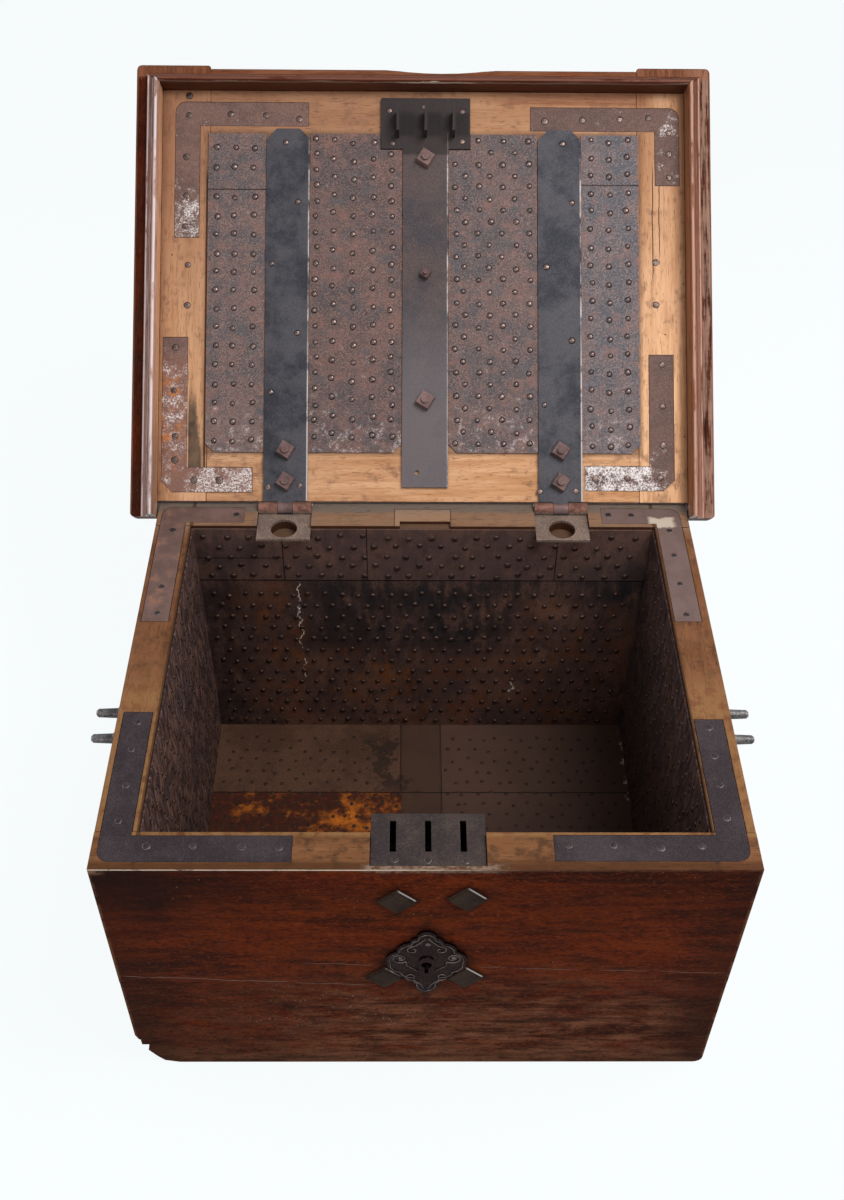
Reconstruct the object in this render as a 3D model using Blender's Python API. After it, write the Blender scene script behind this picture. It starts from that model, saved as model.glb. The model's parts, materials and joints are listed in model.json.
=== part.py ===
"""A wooden strong coffer lined with iron sheet, modelled piece by piece with its lid open.

The frame is metres, +Z up, with the origin under the middle of the box: +X is the
right end seen from the front, -Y is the front and +Y is the hinge side.
"""
import math

import bmesh
import bpy

# Box
BOX_WIDTH = 0.600
BOX_DEPTH = 0.495
BOX_HEIGHT = 0.364
WALL = 0.040
UPPER_PLANK_HEIGHT = 0.196
BOTTOM_THICK = 0.018
BOTTOM_REBATE = 0.012
FIT = 0.0003
CHIP_WIDTH = 0.040
CHIP_HEIGHT = 0.060
WORN_CORNER = 0.010

# Lapped dovetails at the box corners
TAILS_PER_PLANK = 2
TAIL_LENGTH = 0.029
TAIL_FLARE = 0.005

# Iron lining sheets
SHEET = 0.0015
LINING_DROP = 0.004
UPPER_BAND = 0.079
FLOOR_STRIP = 0.048

# L braces let into the rim: inset from the end and from the front or back, where the side arm
# stops, from the middle of the end, and the gap from the other arm to the lock or the hinge
BRACE_WIDTH = 0.028
BACK_BRACE_WIDTH = 0.025
BRACE_THICK = 0.0025
BRACE_CORNER = 0.012
RIM_BRACES = {
    "front_left": (0.006, 0.008, 0.066, 0.070),
    "front_right": (0.009, 0.009, 0.074, 0.061),
    "back_left": (0.005, 0.009, 0.058, 0.0155),
    "back_right": (0.009, 0.009, 0.060, 0.0155),
}

# Lid
LID_OPEN = math.radians(138.6)
LID_THICK = 0.022
LID_GAP = 0.0004
LID_OVERHANG = 0.034
BOARD_SETBACK = 0.004
LID_PLANK_DEPTH = 0.262
CLAMP_WIDTH = 0.087
TONGUE = 0.012
TONGUE_THICK = 0.007
EDGE_ROUND = 0.006
WORN_CHORD = 0.136
WORN_DEPTH = 0.006
WORN_X = 0.020

# Moulded lip under the lid
LIP_CLEARANCE = 0.0025
LIP_DROP = 0.0255
BEAD_WIDTH = 0.0070
FILLET = 0.0010
COVE_WIDTH = 0.0095
COVE_DROP = 0.0205

# L braces let into the lid: inset from the box's end, inset from its front or from the hinge axis,
# gap to the lock strap's head or to the hinge strap, and where the long arm stops, from the lid's middle
LID_BRACES = {
    "front_left": (0.013, 0.0116, 0.082, 0.071),
    "front_right": (0.004, 0.0157, 0.072, 0.135),
    "back_left": (0.002, 0.0183, 0.0135, 0.046),
    "back_right": (0.013, 0.0214, 0.0035, 0.064),
}

# Hinges
HINGE_TO_END = 0.1435
PIVOT_INSET = 0.010
STOP_GAP = 0.0003
STRAP_WIDTH = 0.050
STRAP_THICK = 0.0035
STRAP_REACH = 0.441
STRAP_CLIP = 0.012
KNUCKLE_RADIUS = 0.007
KNUCKLE_GAP = 0.0004
PIN_RADIUS = 0.0032
LEAF_WIDTH = 0.060
LEAF_REACH = 0.048
LEAF_CLEAR = 0.0006

# Square nuts and through bolts that hold the straps
NUT_RADIUS = 0.0125
NUT_HEIGHT = 0.008
NUT_TURN = 13
BOLT_RADIUS = 0.0045
BOLT_STUB = 0.003
BOLT_HEAD_RADIUS = 0.011
BOLT_HEAD_HEIGHT = 0.004
HINGE_NUTS = (0.030, 0.066)
NUT_POCKET_RADIUS = 0.0150
NUT_POCKET_CLEAR = 0.003

# Lid lining plates
PLATE_THICK = 0.0014
PLATE_SEAM = 0.0005
PLATE_START = 0.064
PLATE_END = 0.436
PLATE_TO_END = 0.0515
PLATE_CLIP = 0.010

# Lock strap on the lid, with its three flat staples
LOCK_X = 0.002
LOCK_STRAP_WIDTH = 0.0525
LOCK_STRAP_START = 0.024
LOCK_HEAD_CLEAR = 0.0008
LOCK_HEAD_DEPTH = 0.060
LOCK_HEAD_INSET = 0.007
LOCK_NUTS = (0.1236, 0.406)
LOCK_SMALL_NUT = 0.2705
SMALL_NUT_RADIUS = 0.0075
SPARE_HOLE = (-0.009, 0.041)
SPARE_HOLE_RADIUS = 0.0025
STAPLE_PITCH = 0.032
STAPLE_THICK = 0.003
STAPLE_LENGTH = 0.030
STAPLE_DROP = 0.026
STAPLE_FRONT = 0.024
EYE_RADIUS = 0.006
EYE_DROP = 0.016
EYE_SETBACK = 0.046

# Lock in the front wall
COVER_RIM = 0.0023
COVER_THICK = 0.0025
COVER_FRONT = 0.004
COVER_BACK = 0.064
SLOT_SIDE_CLEAR = 0.00125
SLOT_END_CLEAR = 0.002
MORTISE_CLEAR = 0.004
CASE_CLEAR = 0.0015
CASE_DROP = 0.205
CASE_WALL = 0.002
BOLT_TRAVEL = 0.008
BOLT_BAR_THICK = 0.006
BOLT_BAR_HEIGHT = 0.010
BOLT_BAR_CLEAR = 0.004
FINGER_HEIGHT = 0.008
FINGER_CLEAR = 0.002
RISER_WIDTH = 0.004
STEM_WIDTH = 0.012
STEM_FOOT = 0.018
STEM_FOOT_HEIGHT = 0.014
TALON = 0.006
GUIDE_WIDTH = 0.008
GUIDE_HEIGHT = 0.004
GUIDE_SETBACK = 0.034
SPRING_WIDTH = 0.008
SPRING_LENGTH = 0.060
SPRING_THICK = 0.0012
SPRING_TOP = 0.070

# Keyhole and escutcheon
KEY_DROP = 0.156
KEY_PIN_RADIUS = 0.0022
KEY_PIN_RECESS = 0.003
KEYHOLE_RADIUS = 0.0052
KEYHOLE_SLOT = 0.0038
KEYHOLE_LENGTH = 0.015
ESCUTCHEON_THICK = 0.0025
ESCUTCHEON_TOP = 0.057
ESCUTCHEON_FOOT = 0.056
ESCUTCHEON_HALF = 0.038
ARCH_WIDTH = 0.0150
ARCH_TOP = 0.013
ARCH_RISE = 0.0015

# Square washers with shanks that hold the lock: X from the lock's middle, and drop below the rim
WASHERS = {
    "upper_left": (-0.028, 0.050),
    "upper_right": (0.036, 0.046),
    "lower_left": (-0.041, 0.184),
    "lower_right": (0.038, 0.184),
}
WASHER_RADIUS = 0.0185
WASHER_THICK = 0.003
SHANK_RADIUS = 0.003

# End handles
HANDLE_DROP = 0.100
POST_SPACING = 0.035
POST_RADIUS = 0.0055
POST_REACH = 0.050
POST_BALL = 0.010
BAIL_OFFSET = 0.019
BAIL_RADIUS = 0.0045
BAIL_HALF_WIDTH = 0.054
BAIL_DROP = 0.066
BAIL_BEND = 0.014
BAIL_END = 0.0055
GRIP_RADIUS = 0.0058
HANDLE_ENDS = {"left": -1, "right": 1}

# Places worked out from the driving sizes
HALF_WIDTH = BOX_WIDTH / 2
HALF_DEPTH = BOX_DEPTH / 2
LOWER_PLANK_HEIGHT = BOX_HEIGHT - UPPER_PLANK_HEIGHT
HINGE_SPREAD = HALF_WIDTH - HINGE_TO_END
RISER_REACH = STAPLE_THICK / 2 + FINGER_CLEAR / 2 + BOLT_TRAVEL + RISER_WIDTH
CASE_WIDTH = 2 * (STAPLE_PITCH + RISER_REACH + CASE_CLEAR + CASE_WALL)
COVER_WIDTH = CASE_WIDTH + 2 * COVER_RIM
LOCK_HEAD_WIDTH = COVER_WIDTH - 2 * LOCK_HEAD_CLEAR
INNER_X = HALF_WIDTH - WALL
INNER_Y = HALF_DEPTH - WALL
PIVOT_Y = HALF_DEPTH - PIVOT_INSET
PIVOT_Z = BOX_HEIGHT
FRONT_S = PIVOT_Y + HALF_DEPTH
LIP_S = FRONT_S + LIP_CLEARANCE
LID_FRONT = FRONT_S + LID_OVERHANG
LID_HALF = HALF_WIDTH + LID_OVERHANG
CLAMP_X = LID_HALF - CLAMP_WIDTH
WOOD_LOW = LID_GAP
WOOD_HIGH = LID_GAP + LID_THICK
IRON_HIGH = LID_GAP - FIT
STRAP_LOW = IRON_HIGH - STRAP_THICK
LEAF_DROP = LEAF_CLEAR - STRAP_LOW
COVER_DROP = LEAF_DROP
CASE_TOP = BOX_HEIGHT - COVER_DROP - COVER_THICK - FIT
OPEN_COS = math.cos(LID_OPEN)
OPEN_SIN = math.sin(LID_OPEN)
# The lid stops where its rear edge meets the top back corner of the box
LID_BACK = -PIVOT_INSET * OPEN_COS + STOP_GAP
MARGIN = 0.010
ROUND_SIDES = 24

MATERIALS = {
    "box_wood": ((0.115, 0.036, 0.016), 0.42, 0.0),
    "lid_wood": ((0.420, 0.230, 0.110), 0.60, 0.0),
    "moulding_wood": ((0.130, 0.042, 0.020), 0.38, 0.0),
    "lining_iron": ((0.060, 0.047, 0.043), 0.55, 0.7),
    "brace_iron": ((0.095, 0.080, 0.078), 0.52, 0.8),
    "strap_iron": ((0.032, 0.033, 0.037), 0.45, 0.8),
    "lock_iron": ((0.050, 0.046, 0.045), 0.45, 0.8),
    "handle_iron": ((0.110, 0.105, 0.100), 0.48, 0.8),
}

PLACE = {
    "X": lambda u, v, t: (t, u, v),
    "Y": lambda u, v, t: (u, t, v),
    "Z": lambda u, v, t: (u, v, t),
}


# Shape helpers

def clear_scene():
    for item in list(bpy.data.objects):
        bpy.data.objects.remove(item, do_unlink=True)


def make_material(name):
    colour, roughness, metallic = MATERIALS[name]
    material = bpy.data.materials.new(name)
    material.use_nodes = True
    shader = material.node_tree.nodes["Principled BSDF"]
    shader.inputs["Base Color"].default_value = (*colour, 1.0)
    shader.inputs["Roughness"].default_value = roughness
    shader.inputs["Metallic"].default_value = metallic
    return material


def loft(ring_a, ring_b):
    """A closed solid between two rings of as many points."""
    shape = bmesh.new()
    near = [shape.verts.new(point) for point in ring_a]
    far = [shape.verts.new(point) for point in ring_b]
    shape.faces.new(near)
    shape.faces.new(list(reversed(far)))
    count = len(near)
    for index in range(count):
        after = (index + 1) % count
        shape.faces.new((near[index], near[after], far[after], far[index]))
    bmesh.ops.recalc_face_normals(shape, faces=shape.faces)
    return shape


def prism(outline, axis, start, end):
    """An outline pushed along an axis; outlines are in the two other axes, in order."""
    place = PLACE[axis]
    return loft([place(u, v, start) for u, v in outline], [place(u, v, end) for u, v in outline])


def block(x0, x1, y0, y1, z0, z1):
    return prism([(x0, y0), (x1, y0), (x1, y1), (x0, y1)], "Z", z0, z1)


def arc(u, v, radius, first, last, steps):
    """Points on an arc, from one angle to another in degrees, both ends included."""
    turn = [math.radians(first + (last - first) * step / steps) for step in range(steps + 1)]
    return [(u + radius * math.cos(angle), v + radius * math.sin(angle)) for angle in turn]


def circle(u, v, radius, sides=ROUND_SIDES):
    return arc(u, v, radius, 0, 360, sides)[:-1]


def turned(profile, sides=ROUND_SIDES):
    """A solid turned about the X axis from (x, radius) points that start and end on the axis."""
    shape = bmesh.new()
    rings = []
    for x, radius in profile[1:-1]:
        rings.append([shape.verts.new((x, y, z)) for y, z in circle(0, 0, radius, sides)])
    tips = [shape.verts.new((profile[0][0], 0, 0)), shape.verts.new((profile[-1][0], 0, 0))]
    for index in range(sides):
        after = (index + 1) % sides
        for ring, following in zip(rings, rings[1:]):
            shape.faces.new((ring[index], ring[after], following[after], following[index]))
        shape.faces.new((tips[0], rings[0][after], rings[0][index]))
        shape.faces.new((tips[1], rings[-1][index], rings[-1][after]))
    bmesh.ops.recalc_face_normals(shape, faces=shape.faces)
    return shape


def to_mesh(shape, name):
    mesh = bpy.data.meshes.new(name)
    shape.to_mesh(mesh)
    shape.free()
    return mesh


def piece(name, shape, material, parent=None, smooth=False):
    """A named sub-part with its material."""
    mesh = to_mesh(shape, name)
    if smooth:
        mesh.shade_smooth()
        mesh.set_sharp_from_angle(angle=math.radians(35))
    mesh.materials.append(material)
    item = bpy.data.objects.new(name, mesh)
    item.parent = parent
    bpy.context.scene.collection.objects.link(item)
    return item


def combine(item, shape, operation):
    """A Boolean with a hidden helper that moves with the piece it shapes."""
    helper = bpy.data.objects.new(item.name + "_helper", to_mesh(shape, item.name + "_helper"))
    helper.parent = item.parent
    helper.location = item.location
    helper.hide_render = True
    helper.display_type = "WIRE"
    bpy.context.scene.collection.objects.link(helper)
    modifier = item.modifiers.new(operation.lower(), "BOOLEAN")
    modifier.operation = operation
    modifier.solver = "EXACT"
    modifier.object = helper


def cut(item, shape):
    combine(item, shape, "DIFFERENCE")


def join(item, shape):
    combine(item, shape, "UNION")


def axis_empty(name, location, rotation=(0, 0, 0)):
    empty = bpy.data.objects.new(name, None)
    empty.location = location
    empty.rotation_euler = rotation
    bpy.context.scene.collection.objects.link(empty)
    return empty


def round_edges(shape, chosen, width):
    """Round the edges whose two ends both pass a test."""
    edges = [edge for edge in shape.edges if all(chosen(vert.co) for vert in edge.verts)]
    bmesh.ops.bevel(shape, geom=edges, offset=width, segments=3, profile=0.5, affect="EDGES")
    return shape


def brace_outline(corner, reach, widths, grow, corner_steps):
    """An L seen flat: its outer corner, the signed lengths of its two arms and their widths."""
    sign_u = math.copysign(1, reach[0])
    sign_v = math.copysign(1, reach[1])
    arm_u = abs(reach[0]) + grow
    arm_v = abs(reach[1]) + grow
    inner_v = widths[0] + grow
    inner_u = widths[1] + grow
    clip = BRACE_CORNER
    outer = arc(clip, clip, clip + grow, 180, 270, corner_steps)
    flat = [*outer, (arm_u, -grow), (arm_u, inner_v), (inner_u, inner_v), (inner_u, arm_v), (-grow, arm_v)]
    return [(corner[0] + sign_u * u, corner[1] + sign_v * v) for u, v in flat]


# Box

def tails(low, high):
    """Heights of the dovetails' middles on a plank, and half of a tail's width at its root."""
    pitch = (high - low) / TAILS_PER_PLANK
    half = pitch * 0.24
    return [(low + pitch * (index + 0.5), half) for index in range(TAILS_PER_PLANK)]


def tail_points(height, half, root, tip):
    """One tail on the +Y end of an end board, from its root to its tip and back."""
    wide = half + TAIL_FLARE
    return [(root, height - half), (tip, height - wide), (tip, height + wide), (root, height + half)]


def end_board_outline(low, high):
    root = INNER_Y - FIT
    tip = INNER_Y + TAIL_LENGTH - FIT
    rear = [point for height, half in tails(low, high) for point in tail_points(height, half, root, tip)]
    front = [(-y, z) for y, z in reversed(rear)]
    return [(-root, low), (root, low), *rear, (root, high), (-root, high), *front]


def cut_sockets(board, low, high, side):
    """Dovetail sockets in both ends of a front or back plank."""
    root = INNER_Y - MARGIN
    tip = INNER_Y + TAIL_LENGTH
    slope = TAIL_FLARE / TAIL_LENGTH
    for height, half in tails(low, high):
        half_root = half + FIT - slope * MARGIN
        half_tip = half + TAIL_FLARE + FIT
        flat = [(root, height - half_root), (tip, height - half_tip), (tip, height + half_tip),
                (root, height + half_root)]
        outline = [(side * y, z) for y, z in flat]
        for end in (-1, 1):
            cut(board, prism(outline, "X", end * (INNER_X - FIT), end * (HALF_WIDTH + MARGIN)))


def chipped_outline(low, high):
    """The front's lower plank, with its broken left corner and its worn right one."""
    shares = [(1, 0), (0.62, 0.07), (0.45, 0.22), (0.25, 0.45), (0.34, 0.76), (0.08, 0.84), (0, 1)]
    broken = [(u * CHIP_WIDTH - HALF_WIDTH, low + v * CHIP_HEIGHT) for u, v in reversed(shares)]
    worn = arc(HALF_WIDTH - WORN_CORNER, low + WORN_CORNER, WORN_CORNER, -90, 0, 4)
    return [*broken, *worn, (HALF_WIDTH, high), (-HALF_WIDTH, high)]


def cut_bottom_rebate(board):
    across = INNER_X + BOTTOM_REBATE
    along = INNER_Y + BOTTOM_REBATE
    cut(board, block(-across, across, -along, along, -MARGIN, BOTTOM_THICK + FIT))


def build_box(wood):
    split = LOWER_PLANK_HEIGHT
    spans = {"lower": (0, split - FIT / 2), "upper": (split + FIT / 2, BOX_HEIGHT)}
    boards = {}
    for level, (low, high) in spans.items():
        plain = [(-HALF_WIDTH, low), (HALF_WIDTH, low), (HALF_WIDTH, high), (-HALF_WIDTH, high)]
        front_outline = chipped_outline(low, high) if level == "lower" else plain
        for side, sign, outline in (("front", -1, front_outline), ("back", 1, plain)):
            name = f"{side}_{level}_board"
            boards[name] = piece(name, prism(outline, "Y", sign * INNER_Y, sign * HALF_DEPTH), wood)
            cut_sockets(boards[name], low, high, sign)
        for end, sign in HANDLE_ENDS.items():
            name = f"{end}_{level}_board"
            shape = prism(end_board_outline(low, high), "X", sign * INNER_X, sign * HALF_WIDTH)
            boards[name] = piece(name, shape, wood)
    for side in ("front", "back", "left", "right"):
        cut_bottom_rebate(boards[f"{side}_lower_board"])
    across = INNER_X + BOTTOM_REBATE - FIT
    along = INNER_Y + BOTTOM_REBATE - FIT
    piece("bottom_board", block(-across, across, -along, along, 0, BOTTOM_THICK), wood)
    return boards


def build_rim_braces(boards, iron):
    top = BOX_HEIGHT
    for corner, (inset_x, inset_y, end_y, gap) in RIM_BRACES.items():
        side, end = corner.split("_")
        sign_x = HANDLE_ENDS[end]
        sign_y = -1 if side == "front" else 1
        corner_x = HALF_WIDTH - inset_x
        corner_y = HALF_DEPTH - inset_y
        lock_edge = COVER_WIDTH / 2 + sign_x * LOCK_X
        hinge_edge = HINGE_SPREAD + LEAF_WIDTH / 2
        end_x = gap + (lock_edge if side == "front" else hinge_edge)
        place = (sign_x * corner_x, sign_y * corner_y)
        reach = (-sign_x * (corner_x - end_x), -sign_y * (corner_y - end_y))
        widths = (BRACE_WIDTH if side == "front" else BACK_BRACE_WIDTH, BRACE_WIDTH)
        outline = brace_outline(place, reach, widths, 0, 4)
        piece(f"rim_brace_{corner}", prism(outline, "Z", top - BRACE_THICK, top), iron)
        bed = brace_outline(place, reach, widths, FIT, 4)
        for name in (f"{side}_upper_board", f"{end}_upper_board"):
            cut(boards[name], prism(bed, "Z", top - BRACE_THICK - FIT, top + MARGIN))


def build_lining(iron):
    floor_low = BOTTOM_THICK + FIT
    wall_low = floor_low + SHEET + FIT
    top = BOX_HEIGHT - LINING_DROP
    outer_x = INNER_X - FIT
    outer_y = INNER_Y - FIT
    inner_x = outer_x - SHEET
    inner_y = outer_y - SHEET
    strip = FLOOR_STRIP / 2
    floors = {"left": (-outer_x, -strip - FIT), "strip": (-strip, strip), "right": (strip + FIT, outer_x)}
    for name, (x0, x1) in floors.items():
        piece(f"lining_floor_{name}", block(x0, x1, -outer_y, outer_y, floor_low, floor_low + SHEET), iron)
    for end, sign in HANDLE_ENDS.items():
        reach = inner_y - FIT
        shape = prism([(-reach, wall_low), (reach, wall_low), (reach, top), (-reach, top)], "X",
                      sign * inner_x, sign * outer_x)
        piece(f"lining_{end}", shape, iron)
    seam = top - UPPER_BAND
    lower = [(-outer_x, wall_low), (outer_x, wall_low), (outer_x, seam - FIT), (-outer_x, seam - FIT)]
    piece("lining_back_lower", prism(lower, "Y", inner_y, outer_y), iron)
    band = [(-outer_x, seam), (outer_x, seam), (outer_x, top)]
    notch = BOX_HEIGHT - nut_depth() - NUT_POCKET_CLEAR
    half = LEAF_WIDTH / 2 + FIT
    for x in (HINGE_SPREAD, -HINGE_SPREAD):
        band += [(x + half, top), (x + half, notch), (x - half, notch), (x - half, top)]
    band.append((-outer_x, top))
    piece("lining_back_upper", prism(band, "Y", inner_y, outer_y), iron)
    left = LOCK_X - max(CASE_WIDTH, COVER_WIDTH) / 2 - FIT
    right = LOCK_X + max(CASE_WIDTH, COVER_WIDTH) / 2 + FIT
    below = BOX_HEIGHT - CASE_DROP - FIT
    front = [(-outer_x, wall_low), (outer_x, wall_low), (outer_x, top), (right, top),
             (right, below), (left, below), (left, top), (-outer_x, top)]
    piece("lining_front", prism(front, "Y", -outer_y, -inner_y), iron)


# Lid: outlines here are (x, s), where s runs forward from the hinge axis over the closed lid

def lid_prism(outline, low, high):
    return prism([(x, -s) for x, s in outline], "Z", low, high)


def lid_rectangle(x0, x1, s0, s1):
    return [(x0, s0), (x1, s0), (x1, s1), (x0, s1)]


def tongued_section(half):
    """A lid board's section across the grain, with a tongue on each end."""
    middle = (WOOD_LOW + WOOD_HIGH) / 2
    low = middle - TONGUE_THICK / 2
    high = middle + TONGUE_THICK / 2
    right = [(half, WOOD_LOW), (half, low), (half + TONGUE, low), (half + TONGUE, high), (half, high)]
    left = [(-x, z) for x, z in reversed(right)]
    return [*right, (half, WOOD_HIGH), (-half, WOOD_HIGH), *left]


def near(value, levels):
    return min(abs(value - level) for level in levels) < FIT


def build_lid_boards(lid, wood):
    half = CLAMP_X - FIT
    front = LID_FRONT - BOARD_SETBACK
    spans = {"back": (LID_BACK, LID_PLANK_DEPTH), "front": (LID_PLANK_DEPTH + FIT, front)}
    boards = {}
    for name, (s0, s1) in spans.items():
        shape = prism(tongued_section(half), "Y", -s0, -s1)
        if name == "front":
            faces = (WOOD_LOW, WOOD_HIGH)
            shape = round_edges(shape, lambda co: co.y < FIT - front and near(co.z, faces), EDGE_ROUND)
        boards[name] = piece(f"lid_{name}_board", shape, wood, lid)
    worn_radius = ((WORN_CHORD / 2) ** 2 + WORN_DEPTH ** 2) / (2 * WORN_DEPTH)
    worn = circle(WORN_X, front - WORN_DEPTH + worn_radius, worn_radius, 5 * ROUND_SIDES)
    cut(boards["front"], lid_prism(worn, WOOD_LOW - MARGIN, WOOD_HIGH + MARGIN))
    middle = (WOOD_LOW + WOOD_HIGH) / 2
    deep = TONGUE_THICK / 2 + FIT
    side_x = HALF_WIDTH + LIP_CLEARANCE
    for end, sign in HANDLE_ENDS.items():
        outline = [(CLAMP_X, LID_BACK), (side_x, LID_BACK), (side_x, -PIVOT_INSET), (LID_HALF, -PIVOT_INSET),
                   (LID_HALF, LID_FRONT), (CLAMP_X, LID_FRONT)]
        shape = lid_prism([(sign * x, s) for x, s in outline], WOOD_LOW, WOOD_HIGH)
        outer = LID_HALF - FIT
        shape = round_edges(shape, lambda co: abs(co.x) > outer or co.y < FIT - LID_FRONT, EDGE_ROUND)
        boards[end] = piece(f"lid_clamp_{end}", shape, wood, lid)
        groove = (sign * (CLAMP_X - MARGIN), sign * (CLAMP_X + TONGUE))
        cut(boards[end], block(*sorted(groove), -front - FIT, MARGIN, middle - deep, middle + deep))
    return boards


def lip_profile():
    """The moulding's section: distance out from the box's face, and height from the lid's face."""
    bead_radius = BEAD_WIDTH / 2
    inner = LIP_CLEARANCE
    bead = arc(inner + bead_radius, -LIP_DROP + bead_radius, bead_radius, 180, 360, 6)
    fillet = inner + BEAD_WIDTH + FILLET
    cove = [(fillet + COVE_WIDTH * (1 - math.cos(turn)), -COVE_DROP + COVE_DROP * 0.8 * math.sin(turn))
            for turn in (math.radians(90 * step / 5) for step in range(6))]
    quirk = (inner + BEAD_WIDTH, -COVE_DROP)
    return [(inner, IRON_HIGH), *bead, quirk, *cove, (fillet + COVE_WIDTH, IRON_HIGH)]


def build_mouldings(lid, wood):
    profile = lip_profile()
    back = -PIVOT_INSET
    for end, sign in HANDLE_ENDS.items():
        rear = [(sign * (HALF_WIDTH + out), -back, height) for out, height in profile]
        mitre = [(sign * (HALF_WIDTH + out), -(FRONT_S + out) + FIT, height) for out, height in profile]
        piece(f"lid_moulding_{end}", loft(rear, mitre), wood, lid)
    left = [(-(HALF_WIDTH + out) + FIT, -(FRONT_S + out), height) for out, height in profile]
    right = [(HALF_WIDTH + out - FIT, -(FRONT_S + out), height) for out, height in profile]
    piece("lid_moulding_front", loft(left, right), wood, lid)


def build_lid_braces(lid, boards, iron):
    widths = (BRACE_WIDTH, BRACE_WIDTH)
    for corner, (inset_x, inset_s, gap, end_s) in LID_BRACES.items():
        side, end = corner.split("_")
        sign = HANDLE_ENDS[end]
        corner_x = HALF_WIDTH - inset_x
        if side == "front":
            corner_s = FRONT_S - inset_s
            end_x = LOCK_HEAD_WIDTH / 2 + gap
            arm_s = FRONT_S / 2 + end_s - corner_s
        else:
            corner_s = inset_s
            end_x = HINGE_SPREAD + STRAP_WIDTH / 2 + gap
            arm_s = FRONT_S / 2 - end_s - corner_s
        place = (sign * corner_x, corner_s)
        reach = (-sign * (corner_x - end_x), arm_s)
        steps = 4 if side == "front" else 1
        outline = brace_outline(place, reach, widths, 0, steps)
        piece(f"lid_brace_{corner}", lid_prism(outline, WOOD_LOW, WOOD_LOW + BRACE_THICK), iron, lid)
        bed = brace_outline(place, reach, widths, FIT, steps)
        for name in (side, end):
            cut(boards[name], lid_prism(bed, WOOD_LOW - MARGIN, WOOD_LOW + BRACE_THICK + FIT))


def build_lid_plates(lid, iron):
    """Four nailed sheets between the straps; the inner two are notched round the lock strap's head."""
    strap = STRAP_WIDTH / 2 + PLATE_SEAM
    head = LOCK_HEAD_WIDTH / 2 + PLATE_SEAM
    head_s = FRONT_S - LOCK_HEAD_INSET - LOCK_HEAD_DEPTH - PLATE_SEAM
    high = IRON_HIGH
    low = IRON_HIGH - PLATE_THICK
    for end, sign in HANDLE_ENDS.items():
        lock_side = LOCK_X + sign * (LOCK_STRAP_WIDTH / 2 + PLATE_SEAM)
        head_side = LOCK_X + sign * head
        outer = sign * (HINGE_SPREAD - strap)
        inner_plate = [(outer, PLATE_START), (lock_side - sign * -PLATE_CLIP, PLATE_START),
                       (lock_side, PLATE_START + PLATE_CLIP), (lock_side, head_s), (head_side, head_s),
                       (head_side, PLATE_END), (outer, PLATE_END)]
        piece(f"lid_plate_inner_{end}", lid_prism(inner_plate, low, high), iron, lid)
        near = sign * (HINGE_SPREAD + strap)
        far = sign * (HALF_WIDTH - PLATE_TO_END)
        clip = far - sign * PLATE_CLIP
        outer_plate = [(near, PLATE_START), (clip, PLATE_START), (far, PLATE_START + PLATE_CLIP),
                       (far, PLATE_END), (near, PLATE_END)]
        piece(f"lid_plate_outer_{end}", lid_prism(outer_plate, low, high), iron, lid)


def nut_depth():
    """How far a nut and its bolt stand below the closed lid's face."""
    return NUT_HEIGHT + BOLT_STUB - STRAP_LOW


def add_nut(strap, boards, x, s, radius):
    """A square nut set nearly cornerwise, on a through bolt with a domed head outside the lid."""
    base = STRAP_LOW + STRAP_THICK / 2
    nut_low = STRAP_LOW - NUT_HEIGHT
    wide = arc(x, -s, radius, -90 - NUT_TURN, 180 - NUT_TURN, 3)
    narrow = [(x + (u - x) * 0.86, -s + (v + s) * 0.86) for u, v in wide]
    join(strap, loft([(u, v, base) for u, v in wide], [(u, v, nut_low) for u, v in narrow]))
    share = radius / NUT_RADIUS
    bolt = BOLT_RADIUS * share
    join(strap, prism(circle(x, -s, bolt, 12), "Z", nut_low - BOLT_STUB, WOOD_HIGH + FIT * 2))
    head = BOLT_HEAD_RADIUS * share
    crown = BOLT_HEAD_HEIGHT * share
    foot = WOOD_HIGH + FIT
    lower = [(u, v, foot) for u, v in circle(x, -s, head, 12)]
    upper = [(u, v, foot + crown) for u, v in circle(x, -s, head * 0.55, 12)]
    join(strap, loft(lower, upper))
    for board in boards:
        cut(board, prism(circle(x, -s, bolt + FIT, 12), "Z", WOOD_LOW - MARGIN, WOOD_HIGH + MARGIN))


# Hinges

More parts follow.
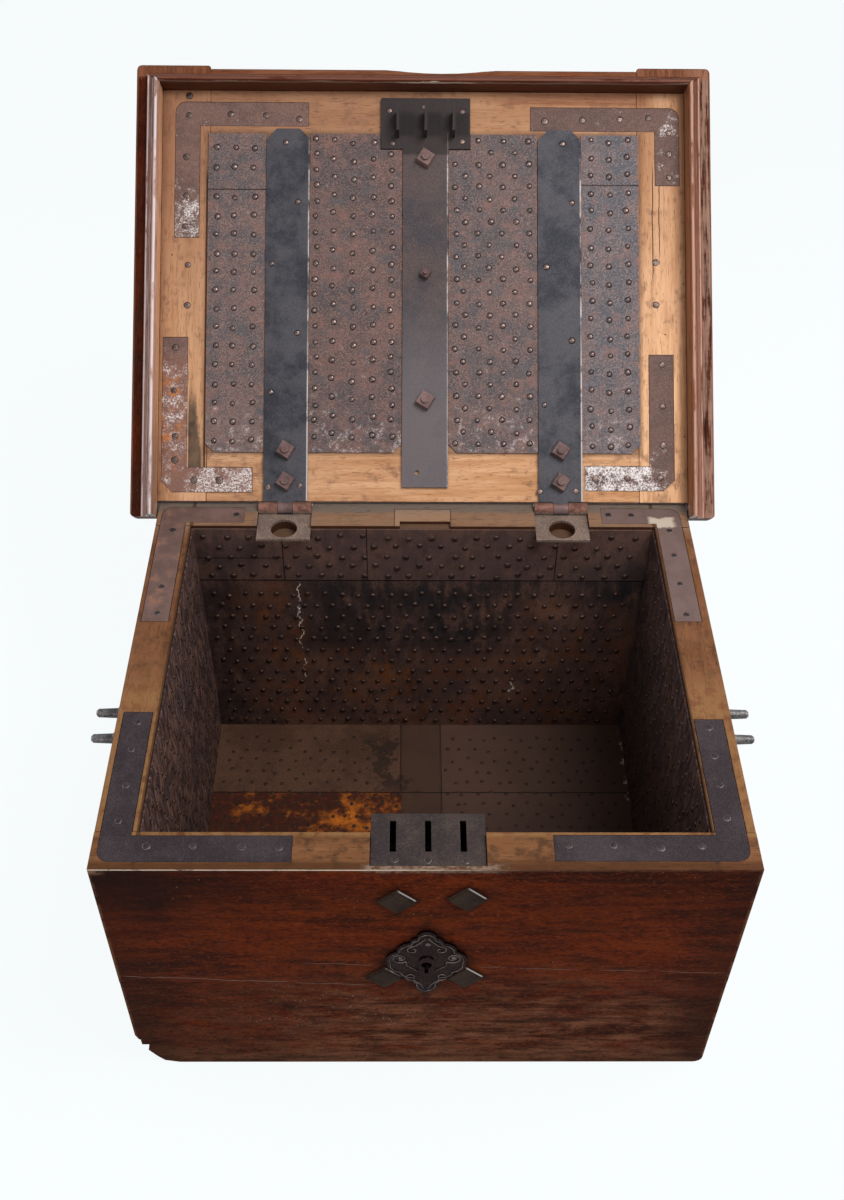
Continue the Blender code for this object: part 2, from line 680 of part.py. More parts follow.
def build_hinge(side, sign, lid, boards, lid_boards, iron, rust):
    x = sign * HINGE_SPREAD
    half = STRAP_WIDTH / 2
    knuckle = STRAP_WIDTH / 3
    start = KNUCKLE_RADIUS + FIT * 4
    shoulder = STRAP_REACH - STRAP_CLIP
    tip = half - STRAP_CLIP
    outline = [(x - half, start), (x + half, start), (x + half, shoulder),
               (x + tip, STRAP_REACH), (x - tip, STRAP_REACH), (x - half, shoulder)]
    strap = piece(f"hinge_strap_{side}", lid_prism(outline, STRAP_LOW, IRON_HIGH), iron, lid)
    x0 = x - knuckle / 2
    x1 = x + knuckle / 2
    join(strap, block(x0, x1, -start - KNUCKLE_RADIUS, 0, STRAP_LOW, IRON_HIGH))
    join(strap, prism(circle(0, 0, KNUCKLE_RADIUS), "X", x0, x1))
    cut(strap, prism(circle(0, 0, PIN_RADIUS + FIT), "X", x0 - MARGIN, x1 + MARGIN))
    for s in HINGE_NUTS:
        add_nut(strap, [lid_boards["back"]], x, s, NUT_RADIUS)

    reach = LEAF_WIDTH / 2
    meet = 180 + math.degrees(math.asin(LEAF_DROP / KNUCKLE_RADIUS))
    barrel = arc(PIVOT_Y, PIVOT_Z, KNUCKLE_RADIUS, -90, meet, ROUND_SIDES)
    section = [(PIVOT_Y - LEAF_REACH, PIVOT_Z - KNUCKLE_RADIUS), *barrel,
               (PIVOT_Y - LEAF_REACH, PIVOT_Z - LEAF_DROP)]
    leaf = piece(f"hinge_leaf_{side}", prism(section, "X", x - reach, x + reach), rust)
    room = circle(PIVOT_Y, PIVOT_Z, KNUCKLE_RADIUS + KNUCKLE_GAP)
    cut(leaf, prism(room, "X", x0 - KNUCKLE_GAP, x1 + KNUCKLE_GAP))
    cut(leaf, prism(circle(PIVOT_Y, PIVOT_Z, PIN_RADIUS + FIT), "X", x - reach - MARGIN, x + reach + MARGIN))
    nut_y = PIVOT_Y - HINGE_NUTS[0]
    pocket = circle(x, nut_y, NUT_POCKET_RADIUS)
    cut(leaf, prism(pocket, "Z", PIVOT_Z - KNUCKLE_RADIUS - MARGIN, PIVOT_Z))
    pin = circle(PIVOT_Y, PIVOT_Z, PIN_RADIUS, 16)
    piece(f"hinge_pin_{side}", prism(pin, "X", x - reach, x + reach), rust, smooth=True)

    wall = boards["back_upper_board"]
    bed = PIVOT_Z - KNUCKLE_RADIUS - FIT
    side_room = reach + FIT
    inner = INNER_Y - MARGIN
    outer = HALF_DEPTH + MARGIN
    cut(wall, block(x - side_room, x + side_room, inner, outer, bed, PIVOT_Z + MARGIN))
    cut(wall, prism(pocket, "Z", PIVOT_Z - nut_depth() - NUT_POCKET_CLEAR, PIVOT_Z + MARGIN))


# Lock

def staple_places():
    return [LOCK_X + STAPLE_PITCH * index for index in (-1, 0, 1)]


def build_lock_strap(lid, boards, lid_boards, iron):
    half = LOCK_STRAP_WIDTH / 2
    head = LOCK_HEAD_WIDTH / 2
    head_end = FRONT_S - LOCK_HEAD_INSET
    head_start = head_end - LOCK_HEAD_DEPTH
    flat = [(-half, LOCK_STRAP_START), (half, LOCK_STRAP_START), (half, head_start), (head, head_start),
            (head, head_end), (-head, head_end), (-head, head_start), (-half, head_start)]
    outline = [(LOCK_X + x, s) for x, s in flat]
    strap = piece("lid_lock_strap", lid_prism(outline, STRAP_LOW, IRON_HIGH), iron, lid)
    near = FRONT_S - STAPLE_FRONT
    eye = circle(-(FRONT_S - EYE_SETBACK), -EYE_DROP, EYE_RADIUS, 16)
    for x in staple_places():
        x0 = x - STAPLE_THICK / 2
        x1 = x + STAPLE_THICK / 2
        join(strap, block(x0, x1, -near, -near + STAPLE_LENGTH, -STAPLE_DROP, STRAP_LOW + STRAP_THICK / 2))
    cut(strap, prism(eye, "X", LOCK_X - head, LOCK_X + head))
    spare = circle(LOCK_X + SPARE_HOLE[0], -SPARE_HOLE[1], SPARE_HOLE_RADIUS, 12)
    cut(strap, prism(spare, "Z", STRAP_LOW - MARGIN, IRON_HIGH + MARGIN))
    for s in LOCK_NUTS:
        board = lid_boards["back" if s < LID_PLANK_DEPTH else "front"]
        add_nut(strap, [board], LOCK_X, s, NUT_RADIUS)
    add_nut(strap, [lid_boards["front"]], LOCK_X, LOCK_SMALL_NUT, SMALL_NUT_RADIUS)
    wall = boards["back_upper_board"]
    room = half + SLOT_END_CLEAR
    behind = PIVOT_Y - LOCK_STRAP_START + SLOT_END_CLEAR
    bed = PIVOT_Z - LEAF_DROP
    cut(wall, block(LOCK_X - room, LOCK_X + room, INNER_Y - MARGIN, behind, bed, PIVOT_Z + MARGIN))


def build_lock_cover(boards, iron):
    front = -HALF_DEPTH + COVER_FRONT
    back = -HALF_DEPTH + COVER_BACK
    top = BOX_HEIGHT - COVER_DROP
    half = COVER_WIDTH / 2
    low = top - COVER_THICK
    cover = piece("lock_cover", block(LOCK_X - half, LOCK_X + half, front, back, low, top), iron)
    slot_front = -HALF_DEPTH + STAPLE_FRONT - SLOT_END_CLEAR
    slot_back = -HALF_DEPTH + STAPLE_FRONT + STAPLE_LENGTH + SLOT_END_CLEAR
    reach = STAPLE_THICK / 2 + SLOT_SIDE_CLEAR
    for x in staple_places():
        cut(cover, block(x - reach, x + reach, slot_front, slot_back, low - MARGIN, top + MARGIN))
    wall = boards["front_upper_board"]
    room = half + FIT
    inside = -INNER_Y + MARGIN
    cut(wall, block(LOCK_X - room, LOCK_X + room, front - FIT, inside, low - FIT, BOX_HEIGHT + MARGIN))
    mortise = STAPLE_PITCH + MORTISE_CLEAR * 2
    floor = BOX_HEIGHT - STAPLE_DROP - MORTISE_CLEAR
    cut(wall, block(LOCK_X - mortise, LOCK_X + mortise, slot_front, inside, floor, low))


def bolt_outline():
    """The sliding bolt seen from the front: a bar with three fingers and a stem down to the key."""
    bar_top = BOX_HEIGHT - STAPLE_DROP - BOLT_BAR_CLEAR
    bar_low = bar_top - BOLT_BAR_HEIGHT
    finger_high = BOX_HEIGHT - EYE_DROP + FINGER_HEIGHT / 2
    finger_low = finger_high - FINGER_HEIGHT
    outline = []
    for x in staple_places():
        tip = x - STAPLE_THICK / 2 - FINGER_CLEAR
        riser_right = tip - BOLT_TRAVEL + FINGER_CLEAR / 2
        riser_left = riser_right - RISER_WIDTH
        outline += [(riser_left, bar_top), (riser_left, finger_high), (tip, finger_high), (tip, finger_low),
                    (riser_right, finger_low), (riser_right, bar_top)]
    first = outline[0][0]
    last = LOCK_X + STAPLE_PITCH
    stem = STEM_WIDTH / 2
    foot = STEM_FOOT / 2
    foot_low = BOX_HEIGHT - KEY_DROP + KEYHOLE_RADIUS
    foot_high = foot_low + STEM_FOOT_HEIGHT
    notch = TALON / 2
    right_half = [(stem, bar_low), (stem, foot_high), (foot, foot_high), (foot, foot_low), (notch, foot_low),
                  (notch, foot_low + TALON)]
    left_half = [(-x, z) for x, z in reversed(right_half)]
    stem_points = [(LOCK_X + x, z) for x, z in right_half + left_half]
    below = [(last, bar_top), (last, bar_low), *stem_points, (first, bar_low)]
    return outline + below, bar_low


def build_lock(boards, iron):
    wall_face = -INNER_Y + FIT
    back = -HALF_DEPTH + COVER_BACK
    left = LOCK_X - CASE_WIDTH / 2
    right = LOCK_X + CASE_WIDTH / 2
    bottom = BOX_HEIGHT - CASE_DROP
    case = piece("lock_case", block(left, right, wall_face, back, bottom, CASE_TOP), iron)
    plate = back - CASE_WALL
    cut(case, block(left + CASE_WALL, right - CASE_WALL, wall_face - MARGIN, plate, bottom + CASE_WALL,
                    CASE_TOP + MARGIN))
    outline, bar_low = bolt_outline()
    middle = -HALF_DEPTH + EYE_SETBACK
    half = BOLT_BAR_THICK / 2
    slide = axis_empty("lock_bolt_slide", (0, middle, 0))
    piece("lock_bolt", prism(outline, "Y", -half, half), iron, slide)
    guide_top = bar_low - FIT
    for x in (LOCK_X - GUIDE_SETBACK - GUIDE_WIDTH / 2, LOCK_X + GUIDE_SETBACK / 2 + GUIDE_WIDTH / 2):
        join(case, block(x - GUIDE_WIDTH / 2, x + GUIDE_WIDTH / 2, middle - half, plate + CASE_WALL / 2,
                         guide_top - GUIDE_HEIGHT, guide_top))
    build_lock_spring(middle + half, plate, iron)
    key_z = BOX_HEIGHT - KEY_DROP
    pin = circle(LOCK_X, key_z, KEY_PIN_RADIUS, 12)
    piece("lock_key_pin", prism(pin, "Y", -HALF_DEPTH + KEY_PIN_RECESS, plate - FIT), iron, smooth=True)
    tunnel = prism(keyhole(KEYHOLE_RADIUS), "Y", -HALF_DEPTH - MARGIN, -INNER_Y + MARGIN)
    cut(boards["front_upper_board"], tunnel)


def build_lock_spring(bolt_face, plate, iron):
    """A bowed leaf that presses on the back of the bolt's stem."""
    front = bolt_face + FIT
    rise = plate - FIT - SPRING_THICK - front
    steps = 8
    middle = BOX_HEIGHT - SPRING_TOP - SPRING_LENGTH / 2
    spread = [step / steps * 2 - 1 for step in range(steps + 1)]
    near = [(front + rise * t * t, middle + t * SPRING_LENGTH / 2) for t in spread]
    far = [(y + SPRING_THICK, z) for y, z in reversed(near)]
    x0 = LOCK_X - SPRING_WIDTH / 2
    piece("lock_spring", prism(near + far, "X", x0, x0 + SPRING_WIDTH), iron, smooth=True)


def keyhole(radius):
    """A round hole with a slot below it for the key's bit."""
    key_z = BOX_HEIGHT - KEY_DROP
    half = KEYHOLE_SLOT / 2
    lean = math.degrees(math.asin(half / radius))
    ring = arc(LOCK_X, key_z, radius, -90 + lean, 270 - lean, 16)
    foot = key_z - KEYHOLE_LENGTH
    return [*ring, (LOCK_X - half, foot), (LOCK_X + half, foot)]


def lobe(start, end, rise=0.2, steps=4):
    """Points along a rounded lobe from one cusp to the next, without the last.

    rise is the lobe's height as a share of its length.
    """
    du = end[0] - start[0]
    dv = end[1] - start[1]
    points = []
    for step in range(steps):
        t = step / steps
        lift = rise * 4 * t * (1 - t)
        points.append((start[0] + du * t - dv * lift, start[1] + dv * t + du * lift))
    return points


def build_escutcheon(iron):
    """A lobed plate: a pointed crest, lobes that step out to the middle, and a drop below."""
    key_z = BOX_HEIGHT - KEY_DROP
    half = ESCUTCHEON_HALF
    top = ESCUTCHEON_TOP
    foot = ESCUTCHEON_FOOT
    cusps = [(0, top), (half * 0.24, top * 0.80), (half * 0.42, top * 0.65), (half * 0.76, top * 0.38),
             (half, 0), (half * 0.72, -foot * 0.30), (half * 0.34, -foot * 0.50),
             (half * 0.26, -foot * 0.70), (0, -foot)]
    right = [point for start, end in zip(cusps, cusps[1:]) for point in lobe(start, end)]
    left = [(-u, v) for u, v in reversed(right[1:])]
    outline = [(LOCK_X + u, key_z + v) for u, v in [*right, (0, -foot), *left]]
    face = -HALF_DEPTH - FIT
    plate = piece("escutcheon", prism(outline, "Y", face - ESCUTCHEON_THICK, face), iron)
    arch = ARCH_WIDTH / 2
    crown = arc(LOCK_X, key_z + ARCH_TOP - arch, arch, 0, 180, 10)
    sill = key_z - KEYHOLE_LENGTH - ARCH_RISE
    surround = [*crown, (LOCK_X - arch, sill), (LOCK_X + arch, sill)]
    join(plate, prism(surround, "Y", face - ESCUTCHEON_THICK - ARCH_RISE, face - ESCUTCHEON_THICK / 2))
    cut(plate, prism(keyhole(KEYHOLE_RADIUS), "Y", face - MARGIN, face + MARGIN))


def build_washers(boards, iron):
    """Square washers set cornerwise on the front, each with a shank through to the lock's back plate."""
    face = -HALF_DEPTH - FIT
    end = -HALF_DEPTH + COVER_BACK - CASE_WALL - FIT
    for name, (across, drop) in WASHERS.items():
        x = LOCK_X + across
        z = BOX_HEIGHT - drop
        square = circle(x, z, WASHER_RADIUS, 4)
        crown = circle(x, z, WASHER_RADIUS * 0.88, 4)
        shape = loft([(u, face, v) for u, v in square], [(u, face - WASHER_THICK, v) for u, v in crown])
        washer = piece(f"lock_washer_{name}", shape, iron)
        join(washer, prism(circle(x, z, SHANK_RADIUS, 12), "Y", face - WASHER_THICK / 2, end))
        hole = prism(circle(x, z, SHANK_RADIUS + FIT, 12), "Y", -HALF_DEPTH - MARGIN, -INNER_Y + MARGIN)
        cut(boards["front_upper_board"], hole)


# End handles

def post_profile():
    """A post from the wall's inner face outward: shank, ball for the bail, and a worn tip."""
    ball = HALF_WIDTH + BAIL_OFFSET
    lean = math.degrees(math.asin(POST_RADIUS / POST_BALL))
    swell = [(ball - x, y) for x, y in arc(0, 0, POST_BALL, lean, 180 - lean, 8)]
    tip = HALF_WIDTH + POST_REACH
    worn = POST_RADIUS * 0.85
    return [(INNER_X + FIT, 0), (INNER_X + FIT, POST_RADIUS), *swell, (tip - POST_RADIUS * 0.4, worn),
            (tip, worn * 0.6), (tip, 0)]


def bail_path():
    """Half of the bail's centre line, from its end in the post to the middle of the grip."""
    corner = BAIL_HALF_WIDTH - BAIL_BEND
    upper = arc(corner, -BAIL_BEND, BAIL_BEND, 90, 0, 5)
    lower = arc(corner, BAIL_BEND - BAIL_DROP, BAIL_BEND, 0, -90, 5)
    swell = corner / 2
    return [(BAIL_END, 0), *upper, *lower, (swell, -BAIL_DROP), (0, -BAIL_DROP)]


def build_bail(end, sign, iron):
    half = bail_path()
    path = half + [(-y, z) for y, z in reversed(half[:-1])]
    curve = bpy.data.curves.new(f"handle_bail_{end}", "CURVE")
    curve.dimensions = "3D"
    curve.bevel_depth = BAIL_RADIUS
    curve.bevel_resolution = 2
    curve.use_fill_caps = True
    spline = curve.splines.new("POLY")
    spline.points.add(len(path) - 1)
    corner = BAIL_HALF_WIDTH - BAIL_BEND
    for point, (y, z) in zip(spline.points, path):
        point.co = (0, y, z, 1)
        held = z < BAIL_BEND - BAIL_DROP
        swell = (GRIP_RADIUS / BAIL_RADIUS - 1) * (1 - abs(y) / corner)
        point.radius = 1 + swell if held and abs(y) < corner else 1
    curve.materials.append(iron)
    axis = axis_empty(f"handle_axis_{end}", (sign * (HALF_WIDTH + BAIL_OFFSET), 0, BOX_HEIGHT - HANDLE_DROP))
    bail = bpy.data.objects.new(f"handle_bail_{end}", curve)
    bail.parent = axis
    bpy.context.scene.collection.objects.link(bail)


def build_handles(boards, iron):
    height = BOX_HEIGHT - HANDLE_DROP
    for end, sign in HANDLE_ENDS.items():
        for place, side in (("front", -1), ("back", 1)):
            y = side * POST_SPACING / 2
            shape = turned([(sign * x, radius) for x, radius in post_profile()])
            post = piece(f"handle_post_{end}_{place}", shape, iron, smooth=True)
            post.location = (0, y, height)
            eye = circle(sign * (HALF_WIDTH + BAIL_OFFSET), 0, BAIL_RADIUS + FIT, 16)
            cut(post, prism(eye, "Y", -POST_BALL - MARGIN, POST_BALL + MARGIN))
            ring = circle(y, height, POST_RADIUS + FIT)
            hole = prism(ring, "X", sign * (INNER_X - MARGIN), sign * (HALF_WIDTH + MARGIN))
            cut(boards[f"{end}_upper_board"], hole)
        build_bail(end, sign, iron)


def main():
    clear_scene()
    finish = {name: make_material(name) for name in MATERIALS}
    boards = build_box(finish["box_wood"])
    build_rim_braces(boards, finish["brace_iron"])
    build_lining(finish["lining_iron"])
    lid = axis_empty("lid_axis", (0, PIVOT_Y, PIVOT_Z), (-LID_OPEN, 0, 0))
    lid_boards = build_lid_boards(lid, finish["lid_wood"])
    build_mouldings(lid, finish["moulding_wood"])
    build_lid_braces(lid, lid_boards, finish["brace_iron"])
    build_lid_plates(lid, finish["lining_iron"])
    for side, sign in HANDLE_ENDS.items():
        build_hinge(side, sign, lid, boards, lid_boards, finish["strap_iron"], finish["brace_iron"])
    build_lock_strap(lid, boards, lid_boards, finish["strap_iron"])
    build_lock_cover(boards, finish["lock_iron"])
    build_lock(boards, finish["lock_iron"])
    build_escutcheon(finish["lock_iron"])
    build_washers(boards, finish["lock_iron"])
    build_handles(boards, finish["handle_iron"])


main()
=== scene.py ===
# %% [markdown]
# # An iron-lined wooden coffer
# This lesson dresses the solid model of an old strong coffer: a dovetailed box of dark polished wood,
# a thick moulded lid that leans back on its hinges, and a lining of nailed iron sheet. The solids already
# have every shape that fastens, moves or carries load, so the work here is finishes, nail heads and wear.

import json
import math
import random

import bmesh
import bpy
from mathutils import Matrix, Vector

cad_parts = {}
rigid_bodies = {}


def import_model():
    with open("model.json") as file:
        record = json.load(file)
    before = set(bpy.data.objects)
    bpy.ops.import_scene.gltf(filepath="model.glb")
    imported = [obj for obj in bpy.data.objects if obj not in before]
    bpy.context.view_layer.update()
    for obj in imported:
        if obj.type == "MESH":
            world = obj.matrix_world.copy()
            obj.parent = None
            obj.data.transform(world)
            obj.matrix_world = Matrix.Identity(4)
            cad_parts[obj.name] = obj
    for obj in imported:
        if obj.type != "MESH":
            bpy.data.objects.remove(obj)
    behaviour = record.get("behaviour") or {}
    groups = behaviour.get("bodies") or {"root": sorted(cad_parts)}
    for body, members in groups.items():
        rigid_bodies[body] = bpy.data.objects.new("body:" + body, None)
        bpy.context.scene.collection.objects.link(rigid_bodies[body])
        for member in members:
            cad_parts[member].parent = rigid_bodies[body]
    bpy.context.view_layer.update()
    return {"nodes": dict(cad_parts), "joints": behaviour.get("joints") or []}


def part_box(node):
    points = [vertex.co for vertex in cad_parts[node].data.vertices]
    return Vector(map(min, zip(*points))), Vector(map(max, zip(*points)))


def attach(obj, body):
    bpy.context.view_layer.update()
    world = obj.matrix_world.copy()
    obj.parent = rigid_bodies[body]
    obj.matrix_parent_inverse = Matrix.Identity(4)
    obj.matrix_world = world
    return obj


for leftover in list(bpy.data.objects):
    bpy.data.objects.remove(leftover, do_unlink=True)
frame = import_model()
nodes = frame["nodes"]

# %% [markdown]
# ## Where things are
# All places come from the solids. The box has its own axes, and the open lid gets a second set:
# x across, s from the hinge axis towards the lid's front edge, and n outward through the boards.
# Writing lid pieces in (x, s, n) keeps their sizes the same as on a lid that lies flat.

# %% Measure the box and the lid
front_low, front_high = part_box("front_upper_board")
RIM = front_high.z
FRONT = front_low.y
HALF = front_high.x
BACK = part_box("back_upper_board")[1].y
INNER_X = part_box("lining_right")[0].x
INNER_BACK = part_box("lining_back_lower")[0].y
INNER_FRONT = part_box("lining_front")[1].y
FLOOR_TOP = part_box("lining_floor_strip")[1].z
LOCK_X = sum(corner.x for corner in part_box("escutcheon")) / 2
lid_joint = next(joint for joint in frame["joints"] if joint["name"] == "lid_hinge")
PIVOT = Vector(lid_joint["pos_m"])
LEAN = math.radians(lid_joint["range_deg"][1])
S_DIR = Vector((0, -math.cos(LEAN), math.sin(LEAN)))
N_DIR = Vector((0, math.sin(LEAN), math.cos(LEAN)))
LID_FRONT = PIVOT.y - FRONT
print("rim height", round(RIM, 4), "front", round(FRONT, 4), "lid lean", round(math.degrees(LEAN), 1))


def on_lid(x, s, n=0.0):
    """A point of the open lid, in the frame of the whole model."""
    return PIVOT + Vector((x, 0, 0)) + S_DIR * s + N_DIR * n


# %% [markdown]
# ## Shader maths as Python
# A material here is an expression: masks are multiplied, added and mixed. Writing that with bare nodes
# hides the idea, so one small class wraps a socket. Its operators add Math nodes, and its single `add`
# method makes any other node from a type, its settings and its inputs.

# %% Wrap a socket
class Wire:
    """One socket of a node tree, so that shader maths reads as Python."""

    def __init__(self, tree, socket=None):
        self.tree = tree
        self.socket = socket

    def add(self, kind, settings=(), inputs=(), out=0):
        node = self.tree.nodes.new(kind)
        for key, value in dict(settings).items():
            setattr(node, key, value)
        for key, value in dict(inputs).items():
            if isinstance(value, Wire):
                self.tree.links.new(value.socket, node.inputs[key])
            else:
                node.inputs[key].default_value = value
        return Wire(self.tree, node.outputs[out])

    def __add__(self, other):
        return self.add("ShaderNodeMath", {"operation": "ADD"}, {0: self, 1: other})

    __radd__ = __add__

    def __sub__(self, other):
        return self.add("ShaderNodeMath", {"operation": "SUBTRACT"}, {0: self, 1: other})

    def __rsub__(self, other):
        return self.add("ShaderNodeMath", {"operation": "SUBTRACT"}, {0: other, 1: self})

    def __mul__(self, other):
        return self.add("ShaderNodeMath", {"operation": "MULTIPLY"}, {0: self, 1: other})

    __rmul__ = __mul__

    def __abs__(self):
        return self.add("ShaderNodeMath", {"operation": "ABSOLUTE"}, {0: self})


# %% [markdown]
# A finisher thinks in a few words: how far along the grain, how soft an edge, how cloudy a stain. Each of
# those words becomes a short function, and the finishes below are written with nothing else. A finish first
# works out its masks, then lays its coats one over another, as on the real thing.

# %% Words for finishes
def larger(*values):
    """The largest of several masks."""
    best = values[0]
    for value in values[1:]:
        best = best.add("ShaderNodeMath", {"operation": "MAXIMUM"}, {0: best, 1: value})
    return best


def along(place, direction, origin=(0, 0, 0)):
    """How far a surface point lies along a direction from an origin, in metres."""
    moved = place.add("ShaderNodeVectorMath", {"operation": "SUBTRACT"}, {0: place, 1: tuple(origin)})
    inputs = {0: moved, 1: tuple(direction)}
    return place.add("ShaderNodeVectorMath", {"operation": "DOT_PRODUCT"}, inputs, "Value")


def soft(value, low, high):
    """0 at low, 1 at high and smooth between; low may be the larger."""
    inputs = {"Value": value, "From Min": low, "From Max": high}
    return value.add("ShaderNodeMapRange", {"interpolation_type": "SMOOTHSTEP"}, inputs)


def band(value, middle, half, fade):
    """1 within half of the middle, fading to 0 outside."""
    return soft(abs(value - middle), half + fade, half)


def clouds(place, size, detail=4.0, rough=0.55, stretch=(1, 1, 1), seed=0.0):
    """Cloudy noise from 0 to 1 with features about size metres, longer where stretch is larger."""
    scale = tuple(1 / (size * part) for part in stretch)
    inputs = {"Vector": place, "Scale": scale, "Location": (seed, seed * 1.7, seed * 0.6)}
    moved = place.add("ShaderNodeMapping", (), inputs)
    inputs = {"Vector": moved, "Scale": 1.0, "Detail": detail, "Roughness": rough}
    return place.add("ShaderNodeTexNoise", (), inputs, "Fac")


def specks(place, size, seed=0.0):
    """Distance to scattered points that are about size metres apart, in that unit."""
    inputs = {"Vector": place, "Scale": (1 / size,) * 3, "Location": (seed, seed * 0.3, seed * 2.1)}
    moved = place.add("ShaderNodeMapping", (), inputs)
    return place.add("ShaderNodeTexVoronoi", (), {"Vector": moved, "Scale": 1.0}, "Distance")


def tint(factor, plain, other):
    """A colour that goes from plain to other as the factor goes from 0 to 1."""
    first, second = [value if isinstance(value, Wire) else (*value, 1.0) for value in (plain, other)]
    inputs = {0: factor, 6: first, 7: second}
    return factor.add("ShaderNodeMix", {"data_type": "RGBA", "clamp_factor": True}, inputs, 2)


def coats(colour, *layers):
    """Lay coats over a colour one after another, each a mask and the coat's own colour."""
    for mask, coat in layers:
        colour = tint(mask, colour, coat)
    return colour


# %% Start and end a finish
def new_finish(name):
    """A material and the surface's place in the model, which its maths starts from."""
    material = bpy.data.materials.new(name)
    material.use_nodes = True
    return material, Wire(material.node_tree).add("ShaderNodeTexCoord", (), (), "Object")


def facing(place, direction):
    """How squarely a surface faces a direction, from -1 to 1."""
    normal = place.add("ShaderNodeTexCoord", (), (), "Normal")
    inputs = {0: normal, 1: tuple(direction)}
    return place.add("ShaderNodeVectorMath", {"operation": "DOT_PRODUCT"}, inputs, "Value")


def box_axes(place):
    """The box's own x and y, and the depth below its rim."""
    return along(place, (1, 0, 0)), along(place, (0, 1, 0)), RIM - along(place, (0, 0, 1))


def lid_axes(place):
    """The lid's own x, s and n."""
    return along(place, (1, 0, 0)), along(place, S_DIR, PIVOT), along(place, N_DIR, PIVOT)


def laid_flat(x, s, n):
    """The lid's three axes as a place for noise, so that the grain follows its boards."""
    return x.add("ShaderNodeCombineXYZ", (), {0: x, 1: s, 2: n})


def set_surface(material, colour, roughness, height, depth, metallic=0.0, gloss=0.5, rim=1.0):
    """Join the worked-out values to the material's Principled shader; rim dims its low-angle reflections."""
    tree = material.node_tree
    shader = tree.nodes["Principled BSDF"]
    tree.links.new(colour.socket, shader.inputs["Base Color"])
    tree.links.new(roughness.socket, shader.inputs["Roughness"])
    bump = height.add("ShaderNodeBump", (), {"Strength": 1.0, "Distance": depth, "Height": height})
    tree.links.new(bump.socket, shader.inputs["Normal"])
    shader.inputs["Metallic"].default_value = metallic
    shader.inputs["Specular IOR Level"].default_value = gloss
    shader.inputs["Specular Tint"].default_value = (rim, rim, rim, 1)
    return material


def named(*starts):
    """The names of the solids that start in one of these ways."""
    return [name for name in nodes if name.startswith(starts)]


def dress(names, material):
    """Put one finish on several solids."""
    for name in names:
        nodes[name].data.materials.clear()
        nodes[name].data.materials.append(material)


# %% [markdown]
# ## Camera, light and floor
# The photograph looks down on the open coffer at about 45 degrees. The focal length, tilt, turn and roll
# were solved from the box's straight edges, so the camera is set from those numbers. A large soft light
# hangs above and to the right, with weaker ones at the front and sides, as in a catalogue studio.

# %% Camera
TILT, TURN, ROLL = (math.radians(angle) for angle in (44.933, 0.848, 0.764))
forward = Vector((math.sin(TURN) * math.cos(TILT), math.cos(TURN) * math.cos(TILT), -math.sin(TILT)))
level = Vector((math.cos(TURN), -math.sin(TURN), 0))
upward = level.cross(forward)
across = level * math.cos(ROLL) + upward * math.sin(ROLL)
upright = upward * math.cos(ROLL) - level * math.sin(ROLL)
lens = bpy.data.cameras.new("studio_camera")
lens.sensor_fit = "VERTICAL"
lens.sensor_height = 36
lens.lens = 40.70
lens.clip_start = 0.02
EYE = Vector((-0.0171, -0.9288, 1.3809))
camera = bpy.data.objects.new("studio_camera", lens)
turned = Matrix((across, upright, -forward)).transposed().to_4x4()
camera.matrix_world = Matrix.Translation(EYE) @ turned
bpy.context.scene.collection.objects.link(camera)
bpy.context.scene.camera = camera
print("camera at", [round(v, 3) for v in camera.matrix_world.translation])


# %% Lights and world
def soft_light(name, location, target, size, power):
    lamp = bpy.data.lights.new(name, "AREA")
    lamp.size = size
    lamp.energy = power
    item = bpy.data.objects.new(name, lamp)
    item.location = location
    item.rotation_euler = (Vector(target) - Vector(location)).to_track_quat("-Z", "Y").to_euler()
    bpy.context.scene.collection.objects.link(item)


def pale_rays(ink):
    """1 for rays that see the background, straight or in a reflection."""
    kinds = ("Is Camera Ray", "Is Glossy Ray", "Is Transmission Ray")
    return larger(*[ink.add("ShaderNodeLightPath", (), (), kind) for kind in kinds])


soft_light("overhead_softbox", (0.95, -0.40, 2.50), (0.0, 0.15, 0.35), 1.2, 53)
soft_light("front_fill", (-1.2, -2.4, 1.5), (0, 0, 0.2), 1.6, 18)
for side, sign, power in (("left", -1, 12), ("right", 1, 15)):
    soft_light(f"side_softbox_{side}", (sign * 1.9, 0.45, 0.55), (0, 0.40, 0.45), 0.9, power)
world = bpy.data.worlds.new("studio_air")
world.use_nodes = True
bpy.context.scene.world = world
air = Wire(world.node_tree)
ambient = air.add("ShaderNodeBackground", (), {"Color": (0.94, 0.97, 1.0, 1), "Strength": 0.34})
shown = air.add("ShaderNodeBackground", (), {"Color": (0.94, 0.975, 0.985, 1), "Strength": 0.97})
sky = air.add("ShaderNodeMixShader", (), {0: pale_rays(air), 1: ambient, 2: shown})
world.node_tree.links.new(sky.socket, world.node_tree.nodes["World Output"].inputs["Surface"])
bpy.context.scene.view_settings.view_transform = "Standard"

